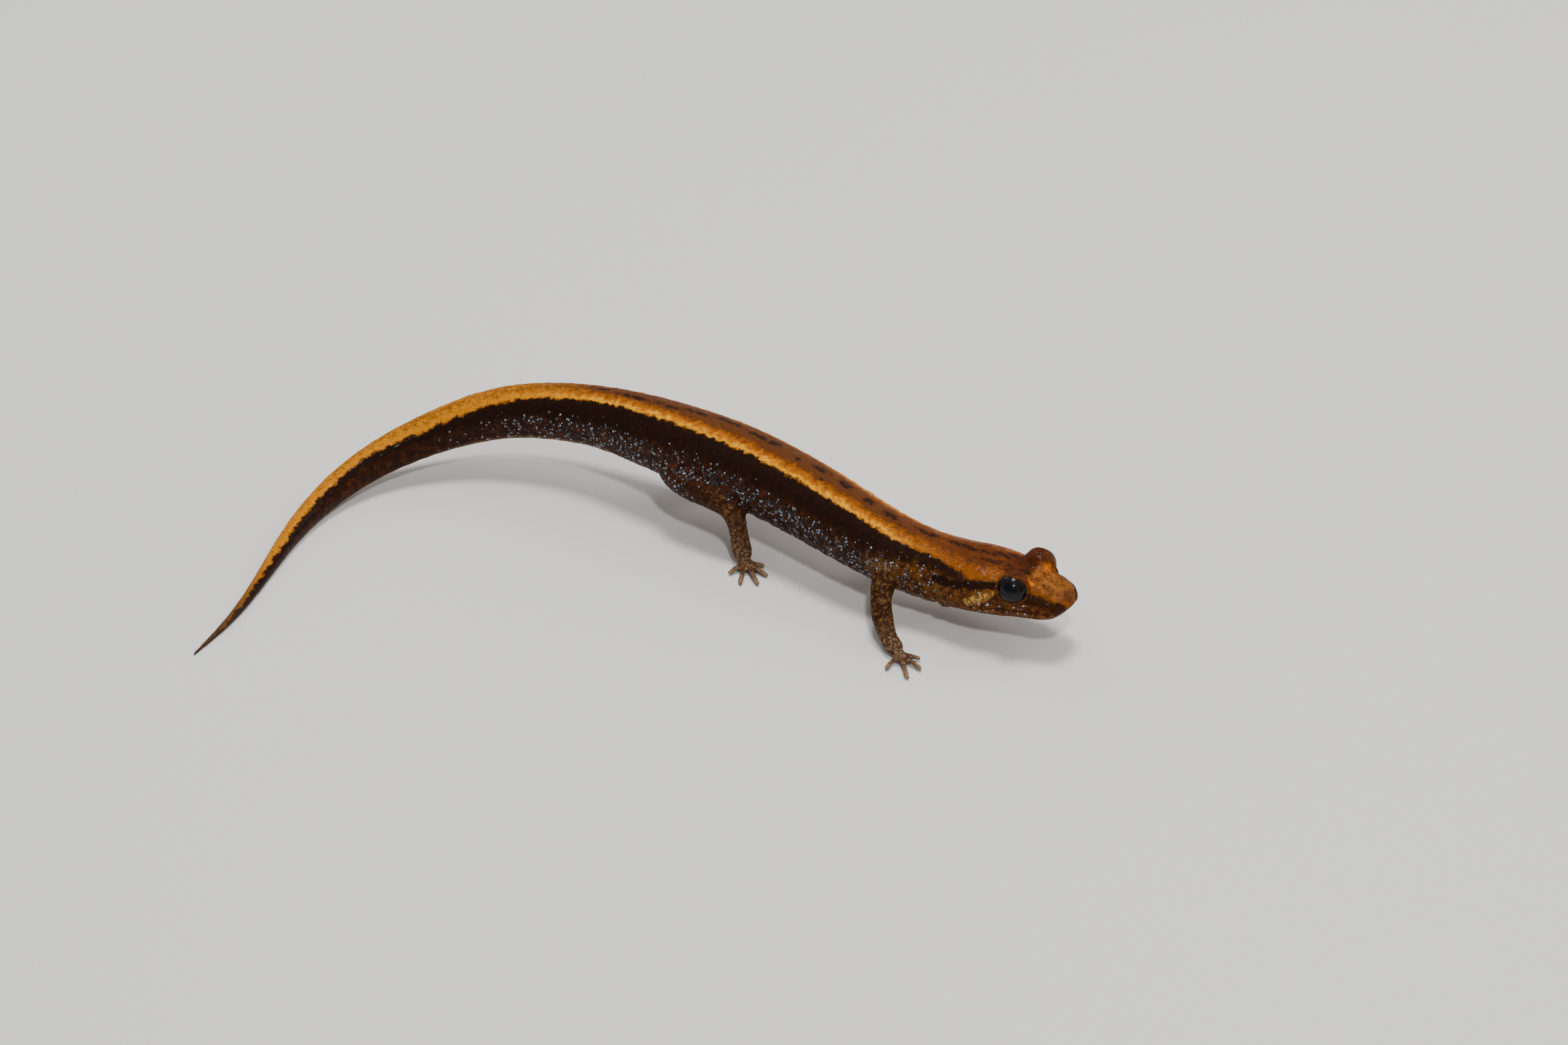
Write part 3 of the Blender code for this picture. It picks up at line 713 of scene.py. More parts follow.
def open_lids(points, settings):
    """Sink the skin behind each eye inside the rim of its lids. Gives the points and the rim's mask."""
    rim_mask = np.zeros(len(points))
    radius = settings.eye_radius / MM
    for side in (1, -1):
        centre, axis, ahead, over = eye_frame(side)
        distance, direction, polar = around_eye(points, centre, axis)
        across, upward = direction @ ahead, direction @ over
        swing = np.cos(2.0 * np.arctan2(upward, across))
        upper, lower = (middle + reach * swing for middle, reach in (UPPER_LID, LOWER_LID))
        opening = np.where(upward > 0.0, upper, lower)
        close = distance < radius + LID_REACH
        inside = (1.0 - ease(polar - opening, -9.0, 0.0)) * close
        sunk = centre + direction * np.minimum(distance, radius - 0.16)[:, None]
        points = points + (sunk - points) * inside[:, None]
        rim = bell(polar - opening - 4.0, 5.0) * close * (1.0 - inside)
        brow = ease(0.85 * across + 0.5 * upward, 0.35, 0.8)
        points = points + direction * (rim * (0.02 + 0.08 * brow))[:, None]
        crease = bell(polar - opening - 15.0, 6.0) * close * ease(upward, 0.2, 0.8)
        points = points - direction * (crease * 0.04)[:, None]
        rim_mask = np.maximum(np.maximum(rim_mask, inside), bell(polar - opening, 2.2) * close)
    return points, rim_mask


def stripe_edge(places):
    """Distance in millimetres inside the edge of the back's stripe, below 0 outside it."""
    table = np.array(STRIPE)
    middle = np.interp(places.s, table[:, 0], table[:, 1])
    half = np.interp(places.s, table[:, 0], table[:, 2])
    return np.radians(half - np.abs(places.angle - middle)) * places.reach


def spots(places, rows):
    """Soft spots from rows of s, angle from the back, length, width and strength."""
    total = np.zeros(len(places.s))
    for s, angle, length, width, strength in rows:
        around = np.radians(places.angle - angle) * places.reach
        total = np.maximum(total, strength * bell(places.s - s, length) * bell(around, width))
    return total


def head_marks(places):
    """Masks of the pale and dark marks of the head and the shoulders, by name; the mouth's and the nostril's
    masks carry painted shade in the slit and the pit.
    """
    side = np.abs(places.side)
    by_side = np.stack([places.s, side, places.rise], axis=1)
    above, mouth_length = by_mouth(places)
    shoulders = [(SHOULDER - 0.6, angle, 1.7, 1.3, 1.0) for angle in (92.0, -92.0)]
    shoulders += [(9.0, angle, 1.1, 0.65, 1.0) for angle in (90.0, -90.0)]
    lips = np.maximum(bell(above - 0.42, 0.16), bell(above + 0.2, 0.13))

    def patch(s, sideways, rise, size):
        """A soft patch of a size round one place on both sides."""
        return bell(np.linalg.norm(by_side - np.array([s, sideways, rise]), axis=1), size)

    def from_snout(start, end):
        """1 from the snout to start, falling to 0 at end."""
        return 1.0 - ease(places.s, start, end)

    return {
        **{name: line_bump(places, stops, width, 1.0) for name, (stops, width) in HEAD_LINES.items()},
        "snout_top": from_snout(2.9, 3.6) * (1.0 - ease(side, 0.9, 1.5)) * ease(places.rise, 0.35, 0.75),
        "loreal": from_snout(4.8, 5.8) * ease(side, 1.0, 1.4) * (1.0 - ease(places.rise, 0.5, 1.0)),
        "lid_dark": np.maximum(patch(3.8, 1.5, 2.1, 1.0), patch(4.3, 0.6, 1.6, 0.75)),
        "lid_bright": patch(2.6, 1.1, 1.55, 0.42),
        # Painted shade: the mouth's slit and the nostril's pit, to be painted dark
        "mouth": bell(above, 0.05) * mouth_length,
        "nostril": patch(*NOSTRIL_PLACE, 0.11),
        "jaw": (1.0 - ease(above, -0.12, 0.0)) * from_snout(6.0, 7.5),
        "shoulder": spots(places, shoulders),
        "lips": lips * ease(places.s, 1.6, 2.6) * from_snout(6.2, 7.2),
    }


def make_skin(settings):
    """The whole skin, with its folds and the numbers that its markings follow."""
    mesh = skin_core(settings)
    refine_head(mesh)
    points = relax(mesh, triples(mesh.vertices, "co"), *FIRST_SMOOTHING)
    set_points(mesh, points)
    places = Places(points)
    weight, rounds = LAST_SMOOTHING
    points = relax(mesh, points, weight * (1.0 - ease(places.s, *TAIL_UNSMOOTHED)), rounds)
    set_points(mesh, points)
    relief = head_relief(places) + body_relief(places, settings) + limb_relief(places)
    relief += fine_relief(points, places)
    points = points + triples(mesh.vertex_normals, "vector") * relief[:, None]
    points, rim = open_lids(points, settings)
    points[:, 2] = np.maximum(points[:, 2], 0.0)
    set_points(mesh, points * MM)
    numbers = {
        "along": places.s,
        "stripe": stripe_edge(places),
        "limb": places.limb,
        "limb_share": places.limb_share,
        "belly": ease(np.abs(places.angle), 118.0, 158.0) * (1.0 - places.limb),
        "marks": spots(places, BACK_MARKS),
        **head_marks(places),
        "rim": rim,
        "rim_height": places.rise - EYE_RAISE,
        "grain": grain_cover(points, places, rim),
    }
    for name, values in numbers.items():
        store(mesh, name, values)
    mesh.shade_smooth()
    return new_object("skin", mesh)


def grain_cover(points, places, rim):
    """How thickly granules grow at each point of the skin."""
    turn = np.abs(places.angle)
    sides = ease(turn, 54.0, 84.0) * (1.0 - ease(turn, 128.0, 148.0))
    cover = sides * ease(places.s, 7.0, 11.0) * (1.0 - ease(places.s, 42.0, 56.0))
    bare_leg = np.maximum(ease(places.limb_share, 0.3, 0.5), places.s < CHEST_END)
    thinning = np.array([noise.noise(Vector(point) * THINNING_SCALE / MM) for point in points])
    return cover * (1.0 - places.limb * bare_leg) * (0.12 + 0.88 * ease(thinning, 0.0, 0.3)) * (rim < 0.1)


# Materials
class Graph:
    """Short calls that add nodes to a material's tree. A colour is an output, a name or three numbers."""

    def __init__(self, name, colours):
        self.colours = colours
        self.material = bpy.data.materials.new(name)
        self.material.use_nodes = True
        self.tree = self.material.node_tree
        self.shader = self.tree.nodes["Principled BSDF"]
        self.place = self.tree.nodes.new("ShaderNodeTexCoord").outputs["Object"]

    def put(self, socket, value):
        """Link a socket to an output, or set its value."""
        if isinstance(value, bpy.types.NodeSocket):
            self.tree.links.new(value, socket)
        else:
            socket.default_value = value

    def attribute(self, name):
        """A number kept on the mesh."""
        node = self.tree.nodes.new("ShaderNodeAttribute")
        node.attribute_name = name
        return node.outputs["Fac"]

    def noise(self, per_mm, detail=3.0, roughness=0.5):
        """Cloudy noise with a number of features for each millimetre."""
        node = self.tree.nodes.new("ShaderNodeTexNoise")
        self.put(node.inputs["Vector"], self.place)
        node.inputs["Scale"].default_value = per_mm / MM
        node.inputs["Detail"].default_value = detail
        node.inputs["Roughness"].default_value = roughness
        return node.outputs["Fac"]

    def cells(self, per_mm):
        """Distance from the nearest cell's middle, in cells."""
        node = self.tree.nodes.new("ShaderNodeTexVoronoi")
        self.put(node.inputs["Vector"], self.place)
        node.inputs["Scale"].default_value = per_mm / MM
        return node.outputs["Distance"]

    def centred(self, per_mm, detail, roughness=0.5):
        """Noise that goes as far below 0 as above it."""
        return self.minus(self.noise(per_mm, detail, roughness), 0.5)

    def mottle(self, per_mm, detail, roughness, low, high, start=0.0, end=1.0):
        """Noise as patches, with a smooth step between a low and a high value of it."""
        return self.ramp(self.noise(per_mm, detail, roughness), low, high, start, end)

    def math(self, operation, first, second):
        """One sum."""
        node = self.tree.nodes.new("ShaderNodeMath")
        node.operation = operation
        self.put(node.inputs[0], first)
        self.put(node.inputs[1], second)
        return node.outputs[0]

    def minus(self, first, second):
        """The first value less the second."""
        return self.math("SUBTRACT", first, second)

    def most(self, first, second):
        """The larger of two values."""
        return self.math("MAXIMUM", first, second)

    def add(self, *terms):
        """The sum of several values."""
        total = terms[0]
        for term in terms[1:]:
            total = self.math("ADD", total, term)
        return total

    def times(self, *terms):
        """The product of several values."""
        total = terms[0]
        for term in terms[1:]:
            total = self.math("MULTIPLY", total, term)
        return total

    def ramp(self, value, low, high, start=0.0, end=1.0):
        """A smooth step from start at low to end at high."""
        node = self.tree.nodes.new("ShaderNodeMapRange")
        node.interpolation_type = "SMOOTHSTEP"
        self.put(node.inputs["Value"], value)
        for name, number in (("From Min", low), ("From Max", high), ("To Min", start), ("To Max", end)):
            node.inputs[name].default_value = number
        return node.outputs["Result"]

    def mix(self, share, first, second):
        """A blend of two colours."""
        node = self.tree.nodes.new("ShaderNodeMix")
        node.data_type = "RGBA"
        self.put(node.inputs["Factor"], share)
        for name, colour in (("A", first), ("B", second)):
            if not isinstance(colour, bpy.types.NodeSocket):
                colour = (*(getattr(self.colours, colour) if isinstance(colour, str) else colour), 1.0)
            self.put(node.inputs[name], colour)
        return node.outputs["Result"]

    def layers(self, base, *coats):
        """A colour with others laid over it in turn, each by its own share."""
        for share, colour in coats:
            base = self.mix(share, base, colour)
        return base

    def bump(self, height, distance_mm, strength, below=None):
        """A bump of the surface, on top of another one."""
        node = self.tree.nodes.new("ShaderNodeBump")
        self.put(node.inputs["Strength"], strength)
        node.inputs["Distance"].default_value = distance_mm * MM
        self.put(node.inputs["Height"], height)
        if below is not None:
            self.put(node.inputs["Normal"], below)
        return node.outputs["Normal"]

    def finish(self, colour, values):
        """Give the shader its colour and its even values. Gives the material."""
        self.put(self.shader.inputs["Base Color"], colour)
        for name, value in values.items():
            self.shader.inputs[name].default_value = value
        return self.material


def skin_material(colours):
    """Wet, mottled skin that follows the markings kept on the mesh."""
    g = Graph("wet_skin", colours)
    along = g.attribute("along")
    share = g.attribute("limb_share")
    broad = g.centred(1.6, 3.0, 0.6)
    cloud = g.times(g.centred(2.6, 4.0, 0.65), 0.9)
    edge = g.add(g.attribute("stripe"), g.times(broad, 0.9), g.times(g.centred(5.0, 2.0, 0.6), 0.22))
    soft = g.ramp(along, 11.0, 7.0, 1.0, 0.3)
    stripe = g.ramp(g.times(g.add(edge, g.times(cloud, g.ramp(along, 11.0, 7.0))), soft), -0.13, 0.13)
    front = g.ramp(along, 15.0, 10.5)
    cheek = g.mix(g.mottle(2.3, 6.0, 0.75, 0.42, 0.62), "cheek", "cheek_pale")

    def mark(name, low, high, strength):
        """The mask of one of the marks, with a ragged edge."""
        return g.times(g.ramp(g.add(g.attribute(name), cloud), low, high), strength)

    # Flanks: brown with red and grey mottles, and a dark band under the stripe
    grey = g.add(g.times(g.attribute("grain"), 0.35), g.noise(2.7, 5.0, 0.7))
    tan = g.ramp(g.add(g.attribute("shoulder"), g.times(cloud, 1.6)), 0.35, 0.75)
    narrow = g.ramp(along, 40.0, 66.0, 1.0, 3.4)
    depth = g.add(g.times(edge, narrow), g.times(broad, 0.9), g.times(front, -0.6))
    dusky = g.mix(g.times(g.mottle(4.0, 5.0, 0.75, 0.5, 0.72), 0.45), "band", "flank_red")
    flank = g.layers(
        "flank",
        (g.mottle(1.9, 5.0, 0.7, 0.46, 0.66), "flank_red"),
        (g.times(g.ramp(grey, 0.6, 0.84), 0.6), "flank_grey"),
        (g.times(front, 0.9), cheek),
        (g.times(g.ramp(depth, -2.2, -1.3), g.ramp(along, 5.5, 8.5), 0.95), dusky),
        (g.times(tan, g.mottle(3.0, 6.0, 0.8, 0.42, 0.6, 0.1, 0.85)), "leg_pale"),
        (g.attribute("belly"), "belly"))

    # The stripe: bright along its edge, browner in the middle, and orange on the tail
    inward = g.add(edge, g.times(cloud, 1.4))
    core = g.ramp(inward, 0.3, 1.15)
    dark = g.times(g.mottle(3.4, 6.0, 0.75, 0.4, 0.75), g.ramp(inward, 0.0, 1.2, 0.2, 0.7))
    ridge = g.ramp(g.add(edge, g.times(cloud, 1.2)), 0.9, 1.6)
    dots = g.times(g.ramp(g.cells(3.2), 0.28, 0.12), g.mottle(1.1, 2.0, 0.5, 0.45, 0.6), core)
    brown = g.times(g.mottle(3.6, 6.0, 0.8, 0.36, 0.6), g.ramp(inward, 0.1, 0.8, 0.2, 0.8))
    tail = g.layers("tail", (brown, "stripe_middle"), (g.times(g.ramp(along, 68.0, 80.0), 0.85), "tail_tip"))
    rusty = g.times(g.ramp(along, 15.0, 9.0), g.ramp(core, 0.0, 1.0, 1.0, 0.25))
    streaks = g.times(g.attribute("marks"), g.mottle(1.8, 6.0, 0.8, 0.34, 0.62, 0.1, 1.35))
    back = g.layers(
        "stripe_edge",
        (g.ramp(inward, 0.0, 0.5), "stripe_orange"),
        (core, "stripe_middle"),
        (dark, "stripe_dark"),
        (g.times(ridge, 0.5), "ridge"),
        (g.times(dots, 0.6), "mark"),
        (g.ramp(along, 38.0, 50.0), tail),
        (rusty, "crown_edge"),
        (g.ramp(edge, 0.16, -0.06, 0.0, 0.9), "stripe_orange"),
        (g.times(g.ramp(streaks, 0.12, 0.5), 0.9), "mark"))

    # The head: orange over the eyes' band, mottled brown between them
    warm = g.mix(g.mottle(3.2, 6.0, 0.8, 0.5, 0.66), "crown_edge", "crown")
    outer = g.times(g.ramp(along, 2.8, 4.2), g.ramp(g.add(edge, g.times(cloud, 1.8)), 0.95, 0.1))
    crown = g.layers(
        "crown",
        (g.mottle(1.9, 6.0, 0.75, 0.36, 0.6), "stripe_dark"),
        (outer, warm),
        (g.times(g.ramp(streaks, 0.1, 0.8), 0.9), "mark"))
    snout = g.layers(
        "snout",
        (g.mottle(2.6, 6.0, 0.75, 0.42, 0.62), "cheek_pale"),
        (g.times(g.mottle(1.5, 5.0, 0.7, 0.44, 0.64), 0.9), "stripe_dark"),
        (g.times(g.ramp(streaks, 0.1, 0.8), 0.8), "mark"),
        (g.times(g.ramp(along, 1.0, 0.3), 0.7), "cheek"))

    # Legs, with thighs like the flanks
    leg = g.layers(
        "leg",
        (g.mottle(3.4, 6.0, 0.75, 0.47, 0.62), "leg_pale"),
        (g.ramp(share, 0.62, 0.95), g.mix(g.mottle(4.6, 5.0, 0.75, 0.46, 0.66), "foot", "toe")),
        (g.times(g.ramp(share, 1.45, 1.95), 0.8), "toe"),
        (g.times(g.ramp(share, 0.66, 0.4), g.ramp(along, 20.0, 24.0), 0.85), flank))

    # Pale flecks on the sides and the lips
    ragged = g.add(g.cells(5.5), g.times(g.centred(9.0, 2.0), 0.5))
    specks = g.ramp(g.minus(g.mottle(3.4, 3.0, 0.7, 0.42, 0.7, 0.0, 0.5), ragged), 0.0, 0.22)
    on_sides = g.times(g.attribute("grain"), g.mottle(0.9, 2.0, 0.5, 0.42, 0.6), 0.5)
    lip_specks = g.ramp(g.minus(g.mottle(2.6, 3.0, 0.7, 0.36, 0.62, 0.05, 0.5), g.cells(4.0)), 0.0, 0.2)
    on_lips = g.times(g.ramp(g.attribute("lips"), 0.25, 0.55), lip_specks, 0.75)
    bare = g.times(g.minus(1.0, stripe), g.minus(1.0, g.attribute("limb")))
    clear = g.minus(1.0, g.times(g.attribute("after_eye"), 0.9))
    behind_eye = g.ramp(along, 4.0, 6.5)
    on_cheeks = g.times(front, bare, clear, g.mottle(1.1, 3.0, 0.5, 0.42, 0.58), behind_eye, 0.9)
    flecks = g.most(g.times(specks, g.most(on_sides, on_cheeks)), on_lips)

    # Everything, laid one over another
    colour = g.layers(
        flank,
        (stripe, back),
        (g.times(g.ramp(along, 74.0, 83.0), 0.8), "tail_tip"),
        (g.times(g.ramp(along, 15.0, 8.0), stripe, 0.92), crown),
        (mark("loreal", 0.3, 0.7, 0.92), g.mix(0.5, cheek, "cheek")),
        (mark("canthus", 0.35, 0.65, 0.92), g.mix(0.45, "band", "cheek")),
        (mark("snout_top", 0.25, 0.85, 0.92), snout),
        (mark("lid_dark", 0.2, 0.8, 0.92), g.mix(g.mottle(2.4, 6.0, 0.75, 0.42, 0.6), "lid_dark", "cheek")),
        (mark("lid_bright", 0.3, 0.9, 0.7), "lid"),
        (mark("after_eye", 0.35, 0.6, 0.94), "band"),
        (mark("jaw", 0.3, 0.7, 0.8), cheek),
        (g.times(mark("cream", 0.4, 0.85, 1.0), g.mottle(3.6, 6.0, 0.8, 0.42, 0.58, 0.12, 0.98)), "cream"),
        # Painted shade: the mouth's slit and the nostril's pit are painted in the marks' dark colour
        (g.most(g.times(g.attribute("mouth"), 0.6), g.attribute("nostril")), "mark"),
        (g.attribute("limb"), leg),
        (flecks, "fleck"),
        (g.ramp(g.mottle(11.0, 4.0, 0.8, 0.35, 0.65, -1.0, 1.0), 0.0, 1.0, 0.0, 0.36), "mark"),
        (g.ramp(g.attribute("rim"), 0.6, 1.0, 0.0, 0.9),
         g.mix(g.ramp(g.attribute("rim_height"), -0.5, 0.0), "rim_low", "rim_high")))

    # The skin's fine relief, with a wet coat over it
    g.put(g.shader.inputs["Roughness"], g.mottle(3.5, 3.0, 0.5, 0.3, 0.7, 0.46, 0.66))
    grains = g.bump(g.ramp(g.cells(5.0), 0.0, 0.7, 1.0, 0.0), 0.05, 0.6)
    pores = g.bump(g.noise(7.0, 4.0, 0.7), 0.06, 0.85, grains)
    g.put(g.shader.inputs["Normal"], pores)
    rough = g.times(g.ramp(along, 8.0, 13.0, 0.3, 1.0), g.add(g.times(stripe, 0.85), 0.15))
    wet = g.bump(g.ramp(g.cells(3.4), 0.0, 0.8, 1.0, 0.0), 0.1, rough)
    g.put(g.shader.inputs["Coat Normal"], wet)
    return g.finish(colour, {"Specular IOR Level": 0.05, "Coat Weight": 0.06, "Coat Roughness": 0.1,
                             "Subsurface Weight": 0.1, "Subsurface Radius": (1.0, 0.4, 0.2),
                             "Subsurface Scale": 0.3 * MM})


def eye_material(colours):
    """A wet, near-black eye with gold-brown flecks round its pupil."""
    g = Graph("wet_eye", colours)
    gaze = g.attribute("gaze")
    iris = g.times(g.ramp(gaze, 24.0, 29.0), g.ramp(gaze, 64.0, 50.0))
    wobble = g.add(gaze, g.times(g.centred(2.0, 3.0), 14.0))
    ring = g.times(g.ramp(wobble, 24.0, 27.0), g.ramp(wobble, 32.0, 28.0))
    colour = g.layers(
        "eye",
        (g.times(iris, g.mottle(6.5, 5.0, 0.75, 0.5, 0.7), 0.28), "iris"),
        (g.times(ring, 0.05), "iris"))
    return g.finish(colour, {"Roughness": 0.3, "Specular IOR Level": 0.1, "Coat Weight": 0.22,
                             "Coat Roughness": 0.03})


def granule_material(colours):
    """Wet skin glands, from brown to bluish white; the bluish white on each dome's top is partly the glands'
    own pale tint and partly a painted highlight.
    """
    g = Graph("wet_granule", colours)
    # Painted highlight: each dome's top, found by its height kept as core, takes the pale colour where a
    # lamp's glint would sit
    core = g.times(g.ramp(g.attribute("core"), 0.72, 0.96), g.ramp(g.attribute("pale"), 0.2, 0.9, 0.1, 1.0))
    colour = g.mix(core, "flank_grey", "fleck")
    return g.finish(colour, {"Roughness": 0.18, "Coat Weight": 0.8, "Coat Roughness": 0.04,
                             "Subsurface Weight": 0.3, "Subsurface Scale": 0.15 * MM})


def floor_material(colours):
    """A plain pale floor."""
    g = Graph("pale_floor", colours)
    colour = g.mix(g.noise(0.02, 2.0), "floor", [0.97 * share for share in colours.floor])
    return g.finish(colour, {"Roughness": 0.85})


# Granules on the skin, by Geometry Nodes
def granule_tree(material):
    """A node tree that grows small domes on a skin where its grain attribute is high."""
    tree = bpy.data.node_groups.new("granules", "GeometryNodeTree")
    sockets = {"Skin": "Geometry", "Density": "Float", "Smallest": "Float", "Largest": "Float", "Seed": "Int"}
    for name, kind in sockets.items():
        tree.interface.new_socket(name, in_out="INPUT", socket_type=f"NodeSocket{kind}")
    tree.interface.new_socket("Granules", in_out="OUTPUT", socket_type="NodeSocketGeometry")

    def node(kind, inputs, **settings):
        """Add a node with its settings, and link or set its inputs. Gives its outputs."""
        made = tree.nodes.new(kind)
        for name, value in settings.items():
            setattr(made, name, value)
        for name, value in inputs.items():
            if isinstance(value, bpy.types.NodeSocket):
                tree.links.new(value, made.inputs[name])
            else:
                made.inputs[name].default_value = value
        return made.outputs

    start = node("NodeGroupInput", {})
    cover = node("GeometryNodeInputNamedAttribute", {"Name": "grain"}, data_type="FLOAT")
    density = node("ShaderNodeMath", {0: start["Density"], 1: cover["Attribute"]}, operation="MULTIPLY")
    points = node("GeometryNodeDistributePointsOnFaces", {
        "Mesh": start["Skin"], "Density": density[0], "Seed": start["Seed"]})
    dome = node("GeometryNodeMeshUVSphere", {"Radius": 1.0, "Segments": DOME_SEGMENTS, "Rings": DOME_RINGS})
    # The dome's height, kept as core, marks its top for the painted highlight in the granule material
    height = node("ShaderNodeSeparateXYZ", {"Vector": node("GeometryNodeInputPosition", {})["Position"]})
    core = node("GeometryNodeStoreNamedAttribute", {
        "Geometry": dome["Mesh"], "Name": "core", "Value": height["Z"]}, data_type="FLOAT")
    flat = node("GeometryNodeTransform", {"Geometry": core["Geometry"], "Scale": (1.0, 1.0, DOME_FLATNESS)})
    smooth = node("GeometryNodeSetShadeSmooth", {"Geometry": flat["Geometry"]})
    size = node("FunctionNodeRandomValue", {2: start["Smallest"], 3: start["Largest"], "Seed": start["Seed"]})
    place = node("GeometryNodeInstanceOnPoints", {
        "Points": points["Points"], "Instance": smooth["Geometry"], "Rotation": points["Rotation"],
        "Scale": size[1]})
    tint = node("FunctionNodeRandomValue", {"Seed": TINT_SEED})
    pale = node("GeometryNodeStoreNamedAttribute", {
        "Geometry": place["Instances"], "Name": "pale", "Value": tint[1]},
        data_type="FLOAT", domain="INSTANCE")
    whole = node("GeometryNodeRealizeInstances", {"Geometry": pale["Geometry"]})
    paint = node("GeometryNodeSetMaterial", {"Geometry": whole["Geometry"], "Material": material})
    node("NodeGroupOutput", {"Granules": paint["Geometry"]})
    return tree


def set_input(modifier, name, value):
    """Set a modifier's input by its socket's name."""
    for socket in modifier.node_group.interface.items_tree:
        if socket.name == name and socket.in_out == "INPUT":
            modifier[socket.identifier] = value


# Settings
def length_property(name, description, millimetres):
    """One length that a user can change."""
    return FloatProperty(name=name, description=description, default=millimetres * MM, unit="LENGTH",
                         precision=6)


class SALAMANDER_PG_shape(bpy.types.PropertyGroup):
    """Sizes of the skin, the eyes and the granules."""

    face_size: length_property("Face size", "Width of the skin's faces", 0.155)
    groove_depth: length_property("Groove depth", "Depth of the grooves between the ribs", 0.07)
    eye_radius: length_property("Eye radius", "Radius of an eyeball", 1.12)
    lid_depth: length_property("Lid depth", "Thickness of the lids", 0.1)
    granule_density: FloatProperty(name="Granule density", default=20.0e6,
                                   description="Granules for each square metre of flank")
    granule_smallest: length_property("Smallest granule", "Radius of the smallest granule", 0.035)
    granule_largest: length_property("Largest granule", "Radius of the largest granule", 0.12)
    seed: IntProperty(name="Seed", description="Seed of the granules' places", default=7)


# What each colour is, and its red, green and blue on a screen
COLOURS = {
    "stripe_edge": ("Bright edge of the back's stripe", 255, 178, 20),
    "stripe_middle": ("Middle of the back", 98, 50, 8),
    "stripe_orange": ("Orange inside the stripe's bright edge", 194, 108, 8),
    "ridge": ("Greyish brown along the back's midline", 100, 58, 32),
    "stripe_dark": ("Darker mottles of the back", 80, 38, 12),
    # Also painted as shade in the mouth's slit and the nostril's pit
    "mark": ("Dark marks along the back", 34, 15, 7),
    "tail": ("Stripe on the tail", 220, 138, 0),
    "tail_tip": ("Tip of the tail", 70, 50, 36),
    "band": ("Dark band under the stripe", 28, 11, 4),
    "flank": ("Lower sides", 40, 18, 6),
    "flank_red": ("Reddish mottles of the sides", 78, 36, 10),
    "flank_grey": ("Greyish mottles of the sides", 66, 68, 74),
    "belly": ("Belly", 134, 92, 40),
    "crown": ("Top of the head", 112, 54, 6),
    "crown_edge": ("Orange over the eyes' dark band", 148, 80, 20),
    "snout": ("Top of the snout", 168, 100, 40),
    "cheek": ("Sides of the head and the neck", 62, 26, 4),
    "cheek_pale": ("Pale mottles of the head's sides", 130, 78, 26),
    "cream": ("Line from the eye to the jaw", 208, 158, 78),
    "lid": ("Bright mark on the lids", 255, 132, 4),
    "lid_dark": ("Upper lids", 84, 36, 8),
    "rim_low": ("Rim of the lower lid", 142, 92, 34),
    "rim_high": ("Rim of the upper lid", 60, 38, 26),
    "leg": ("Legs", 50, 22, 8),
    "leg_pale": ("Pale mottles of the legs", 112, 80, 40),
    "foot": ("Feet", 72, 44, 28),
    "toe": ("Tips of the toes", 150, 122, 92),
    # Pale flecks of the skin, also painted on each granule's top as a painted highlight
    "fleck": ("Pale flecks", 200, 212, 228),
    "eye": ("Eye", 3, 6, 12),
    "iris": ("Flecks of the iris", 110, 76, 30),
    "floor": ("Floor", 232, 230, 226),
}


def colour_property(name, description, red, green, blue):
    """One colour that a user can change."""
    return FloatVectorProperty(name=name.replace("_", " ").capitalize(), description=description, size=3,
                               subtype="COLOR", min=0.0, max=1.0, default=srgb(red, green, blue))


class SALAMANDER_PG_colours(bpy.types.PropertyGroup):
    """Colours of the skin, the eyes and the floor."""

    __annotations__ = {name: colour_property(name, *row) for name, row in COLOURS.items()}


# Operators
class SALAMANDER_OT_skin(bpy.types.Operator):
    """Build the skin over the head, the body, the tail and the legs"""

    bl_idname = "salamander.skin"
    bl_label = "Build skin"

    def execute(self, context):
        skin = make_skin(context.scene.salamander_shape)
        skin.data.materials.append(skin_material(context.scene.salamander_colours))
        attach(skin, BODY)
        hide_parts(*FLESH_NODES)
        return {"FINISHED"}


class SALAMANDER_OT_eyes(bpy.types.Operator):
    """Build the two eyes"""

    bl_idname = "salamander.eyes"
    bl_label = "Build eyes"

    def execute(self, context):
        material = eye_material(context.scene.salamander_colours)
        radius = context.scene.salamander_shape.eye_radius / MM
        for name, side in (("right", 1), ("left", -1)):
            centre, axis, ahead, over = eye_frame(side)
            points, faces = ball(centre, radius)
            distance, direction, polar = around_eye(points, centre, axis)
            points = points + direction * (CORNEA_BULGE * bell(polar, CORNEA_WIDTH))[:, None]
            mesh = new_mesh(f"eyeball_{name}", points * MM, faces)
            store(mesh, "gaze", polar)
            mesh.materials.append(material)
            mesh.shade_smooth()
            eye = new_object(f"eyeball_{name}", mesh)
            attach(eye, BODY)
            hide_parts(f"eye_{name}")
        return {"FINISHED"}


class SALAMANDER_OT_granules(bpy.types.Operator):
    """Grow the small glands that glisten on the sides"""

    bl_idname = "salamander.granules"
    bl_label = "Grow granules"

    def execute(self, context):
        shape = context.scene.salamander_shape
        skin = bpy.data.objects["skin"]
        grown = new_object("granules_base", skin.data.copy())
        modifier = grown.modifiers.new("granules", "NODES")
        modifier.node_group = granule_tree(granule_material(context.scene.salamander_colours))
        for name, value in (("Density", shape.granule_density), ("Smallest", shape.granule_smallest),
                            ("Largest", shape.granule_largest), ("Seed", shape.seed)):
            set_input(modifier, name, value)
        granules = new_object("granules", applied(grown, "granules"))
        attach(granules, BODY)
        return {"FINISHED"}


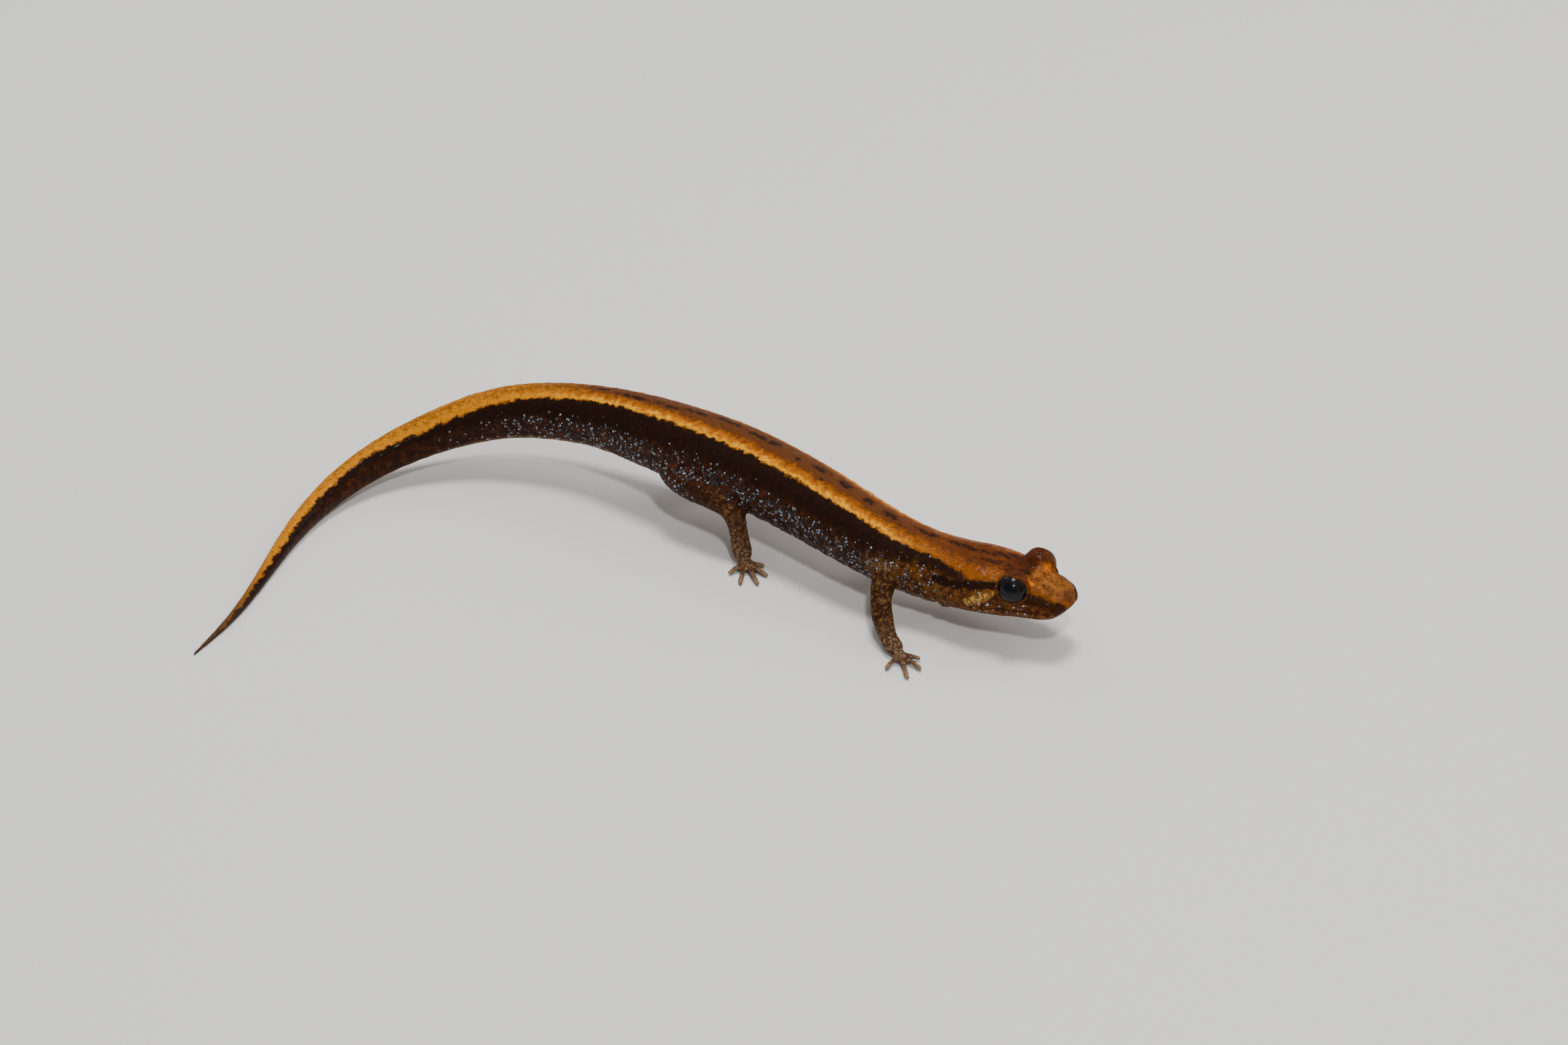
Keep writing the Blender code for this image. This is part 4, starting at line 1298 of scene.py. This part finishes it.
class SALAMANDER_OT_stage(bpy.types.Operator):
    """Set up the pale floor, the soft lights and the camera"""

    bl_idname = "salamander.stage"
    bl_label = "Set stage"

    def execute(self, context):
        scene = context.scene
        corners = [(x * FLOOR_HALF, y * FLOOR_HALF, 0.0) for x, y in ((-1, -1), (1, -1), (1, 1), (-1, 1))]
        mesh = new_mesh("floor", corners, [(0, 1, 2, 3)])
        mesh.materials.append(floor_material(scene.salamander_colours))
        new_object("floor", mesh)
        aim = Vector(CAMERA_AIM)
        for name, place, size, power in LIGHTS:
            lamp = bpy.data.lights.new(name, "AREA")
            lamp.shape = "DISK"
            lamp.size = size
            lamp.energy = power
            item = bpy.data.objects.new(name, lamp)
            item.location = place
            item.rotation_euler = (aim - Vector(place)).to_track_quat("-Z", "Y").to_euler()
            scene.collection.objects.link(item)
        world = bpy.data.worlds.new("studio")
        world.use_nodes = True
        sky = world.node_tree.nodes["Background"]
        sky.inputs["Color"].default_value = WORLD_COLOUR
        sky.inputs["Strength"].default_value = WORLD_STRENGTH
        scene.world = world
        lens = bpy.data.cameras.new("camera")
        lens.lens = CAMERA_LENS
        lens.sensor_width = CAMERA_SENSOR
        lens.clip_start = CAMERA_CLIP
        camera = bpy.data.objects.new("camera", lens)
        tilt = math.radians(CAMERA_ELEVATION)
        camera.location = aim + CAMERA_DISTANCE * Vector((0.0, -math.cos(tilt), math.sin(tilt)))
        camera.rotation_euler = (math.pi / 2 - tilt, 0.0, 0.0)
        scene.collection.objects.link(camera)
        scene.camera = camera
        return {"FINISHED"}


class SALAMANDER_PT_panel(bpy.types.Panel):
    """The salamander's sizes, colours and steps."""

    bl_label = "Salamander"
    bl_idname = "SALAMANDER_PT_panel"
    bl_space_type = "VIEW_3D"
    bl_region_type = "UI"
    bl_category = "Salamander"

    def draw(self, context):
        for settings in (context.scene.salamander_shape, context.scene.salamander_colours):
            for name in settings.bl_rna.properties.keys():
                if name not in ("rna_type", "name"):
                    self.layout.prop(settings, name)
        for operator in OPERATORS:
            self.layout.operator(operator.bl_idname)


OPERATORS = (SALAMANDER_OT_skin, SALAMANDER_OT_eyes, SALAMANDER_OT_granules, SALAMANDER_OT_stage)
CLASSES = (SALAMANDER_PG_shape, SALAMANDER_PG_colours, *OPERATORS, SALAMANDER_PT_panel)


def register():
    """Add the settings, the operators and the panel."""
    for item in CLASSES:
        bpy.utils.register_class(item)
    bpy.types.Scene.salamander_shape = PointerProperty(type=SALAMANDER_PG_shape)
    bpy.types.Scene.salamander_colours = PointerProperty(type=SALAMANDER_PG_colours)


def unregister():
    """Take them away again."""
    del bpy.types.Scene.salamander_colours
    del bpy.types.Scene.salamander_shape
    for item in reversed(CLASSES):
        bpy.utils.unregister_class(item)


def main():
    """Build every piece."""
    register()
    bpy.ops.salamander.skin()
    bpy.ops.salamander.eyes()
    bpy.ops.salamander.granules()
    bpy.ops.salamander.stage()


if __name__ == "__main__":
    main()
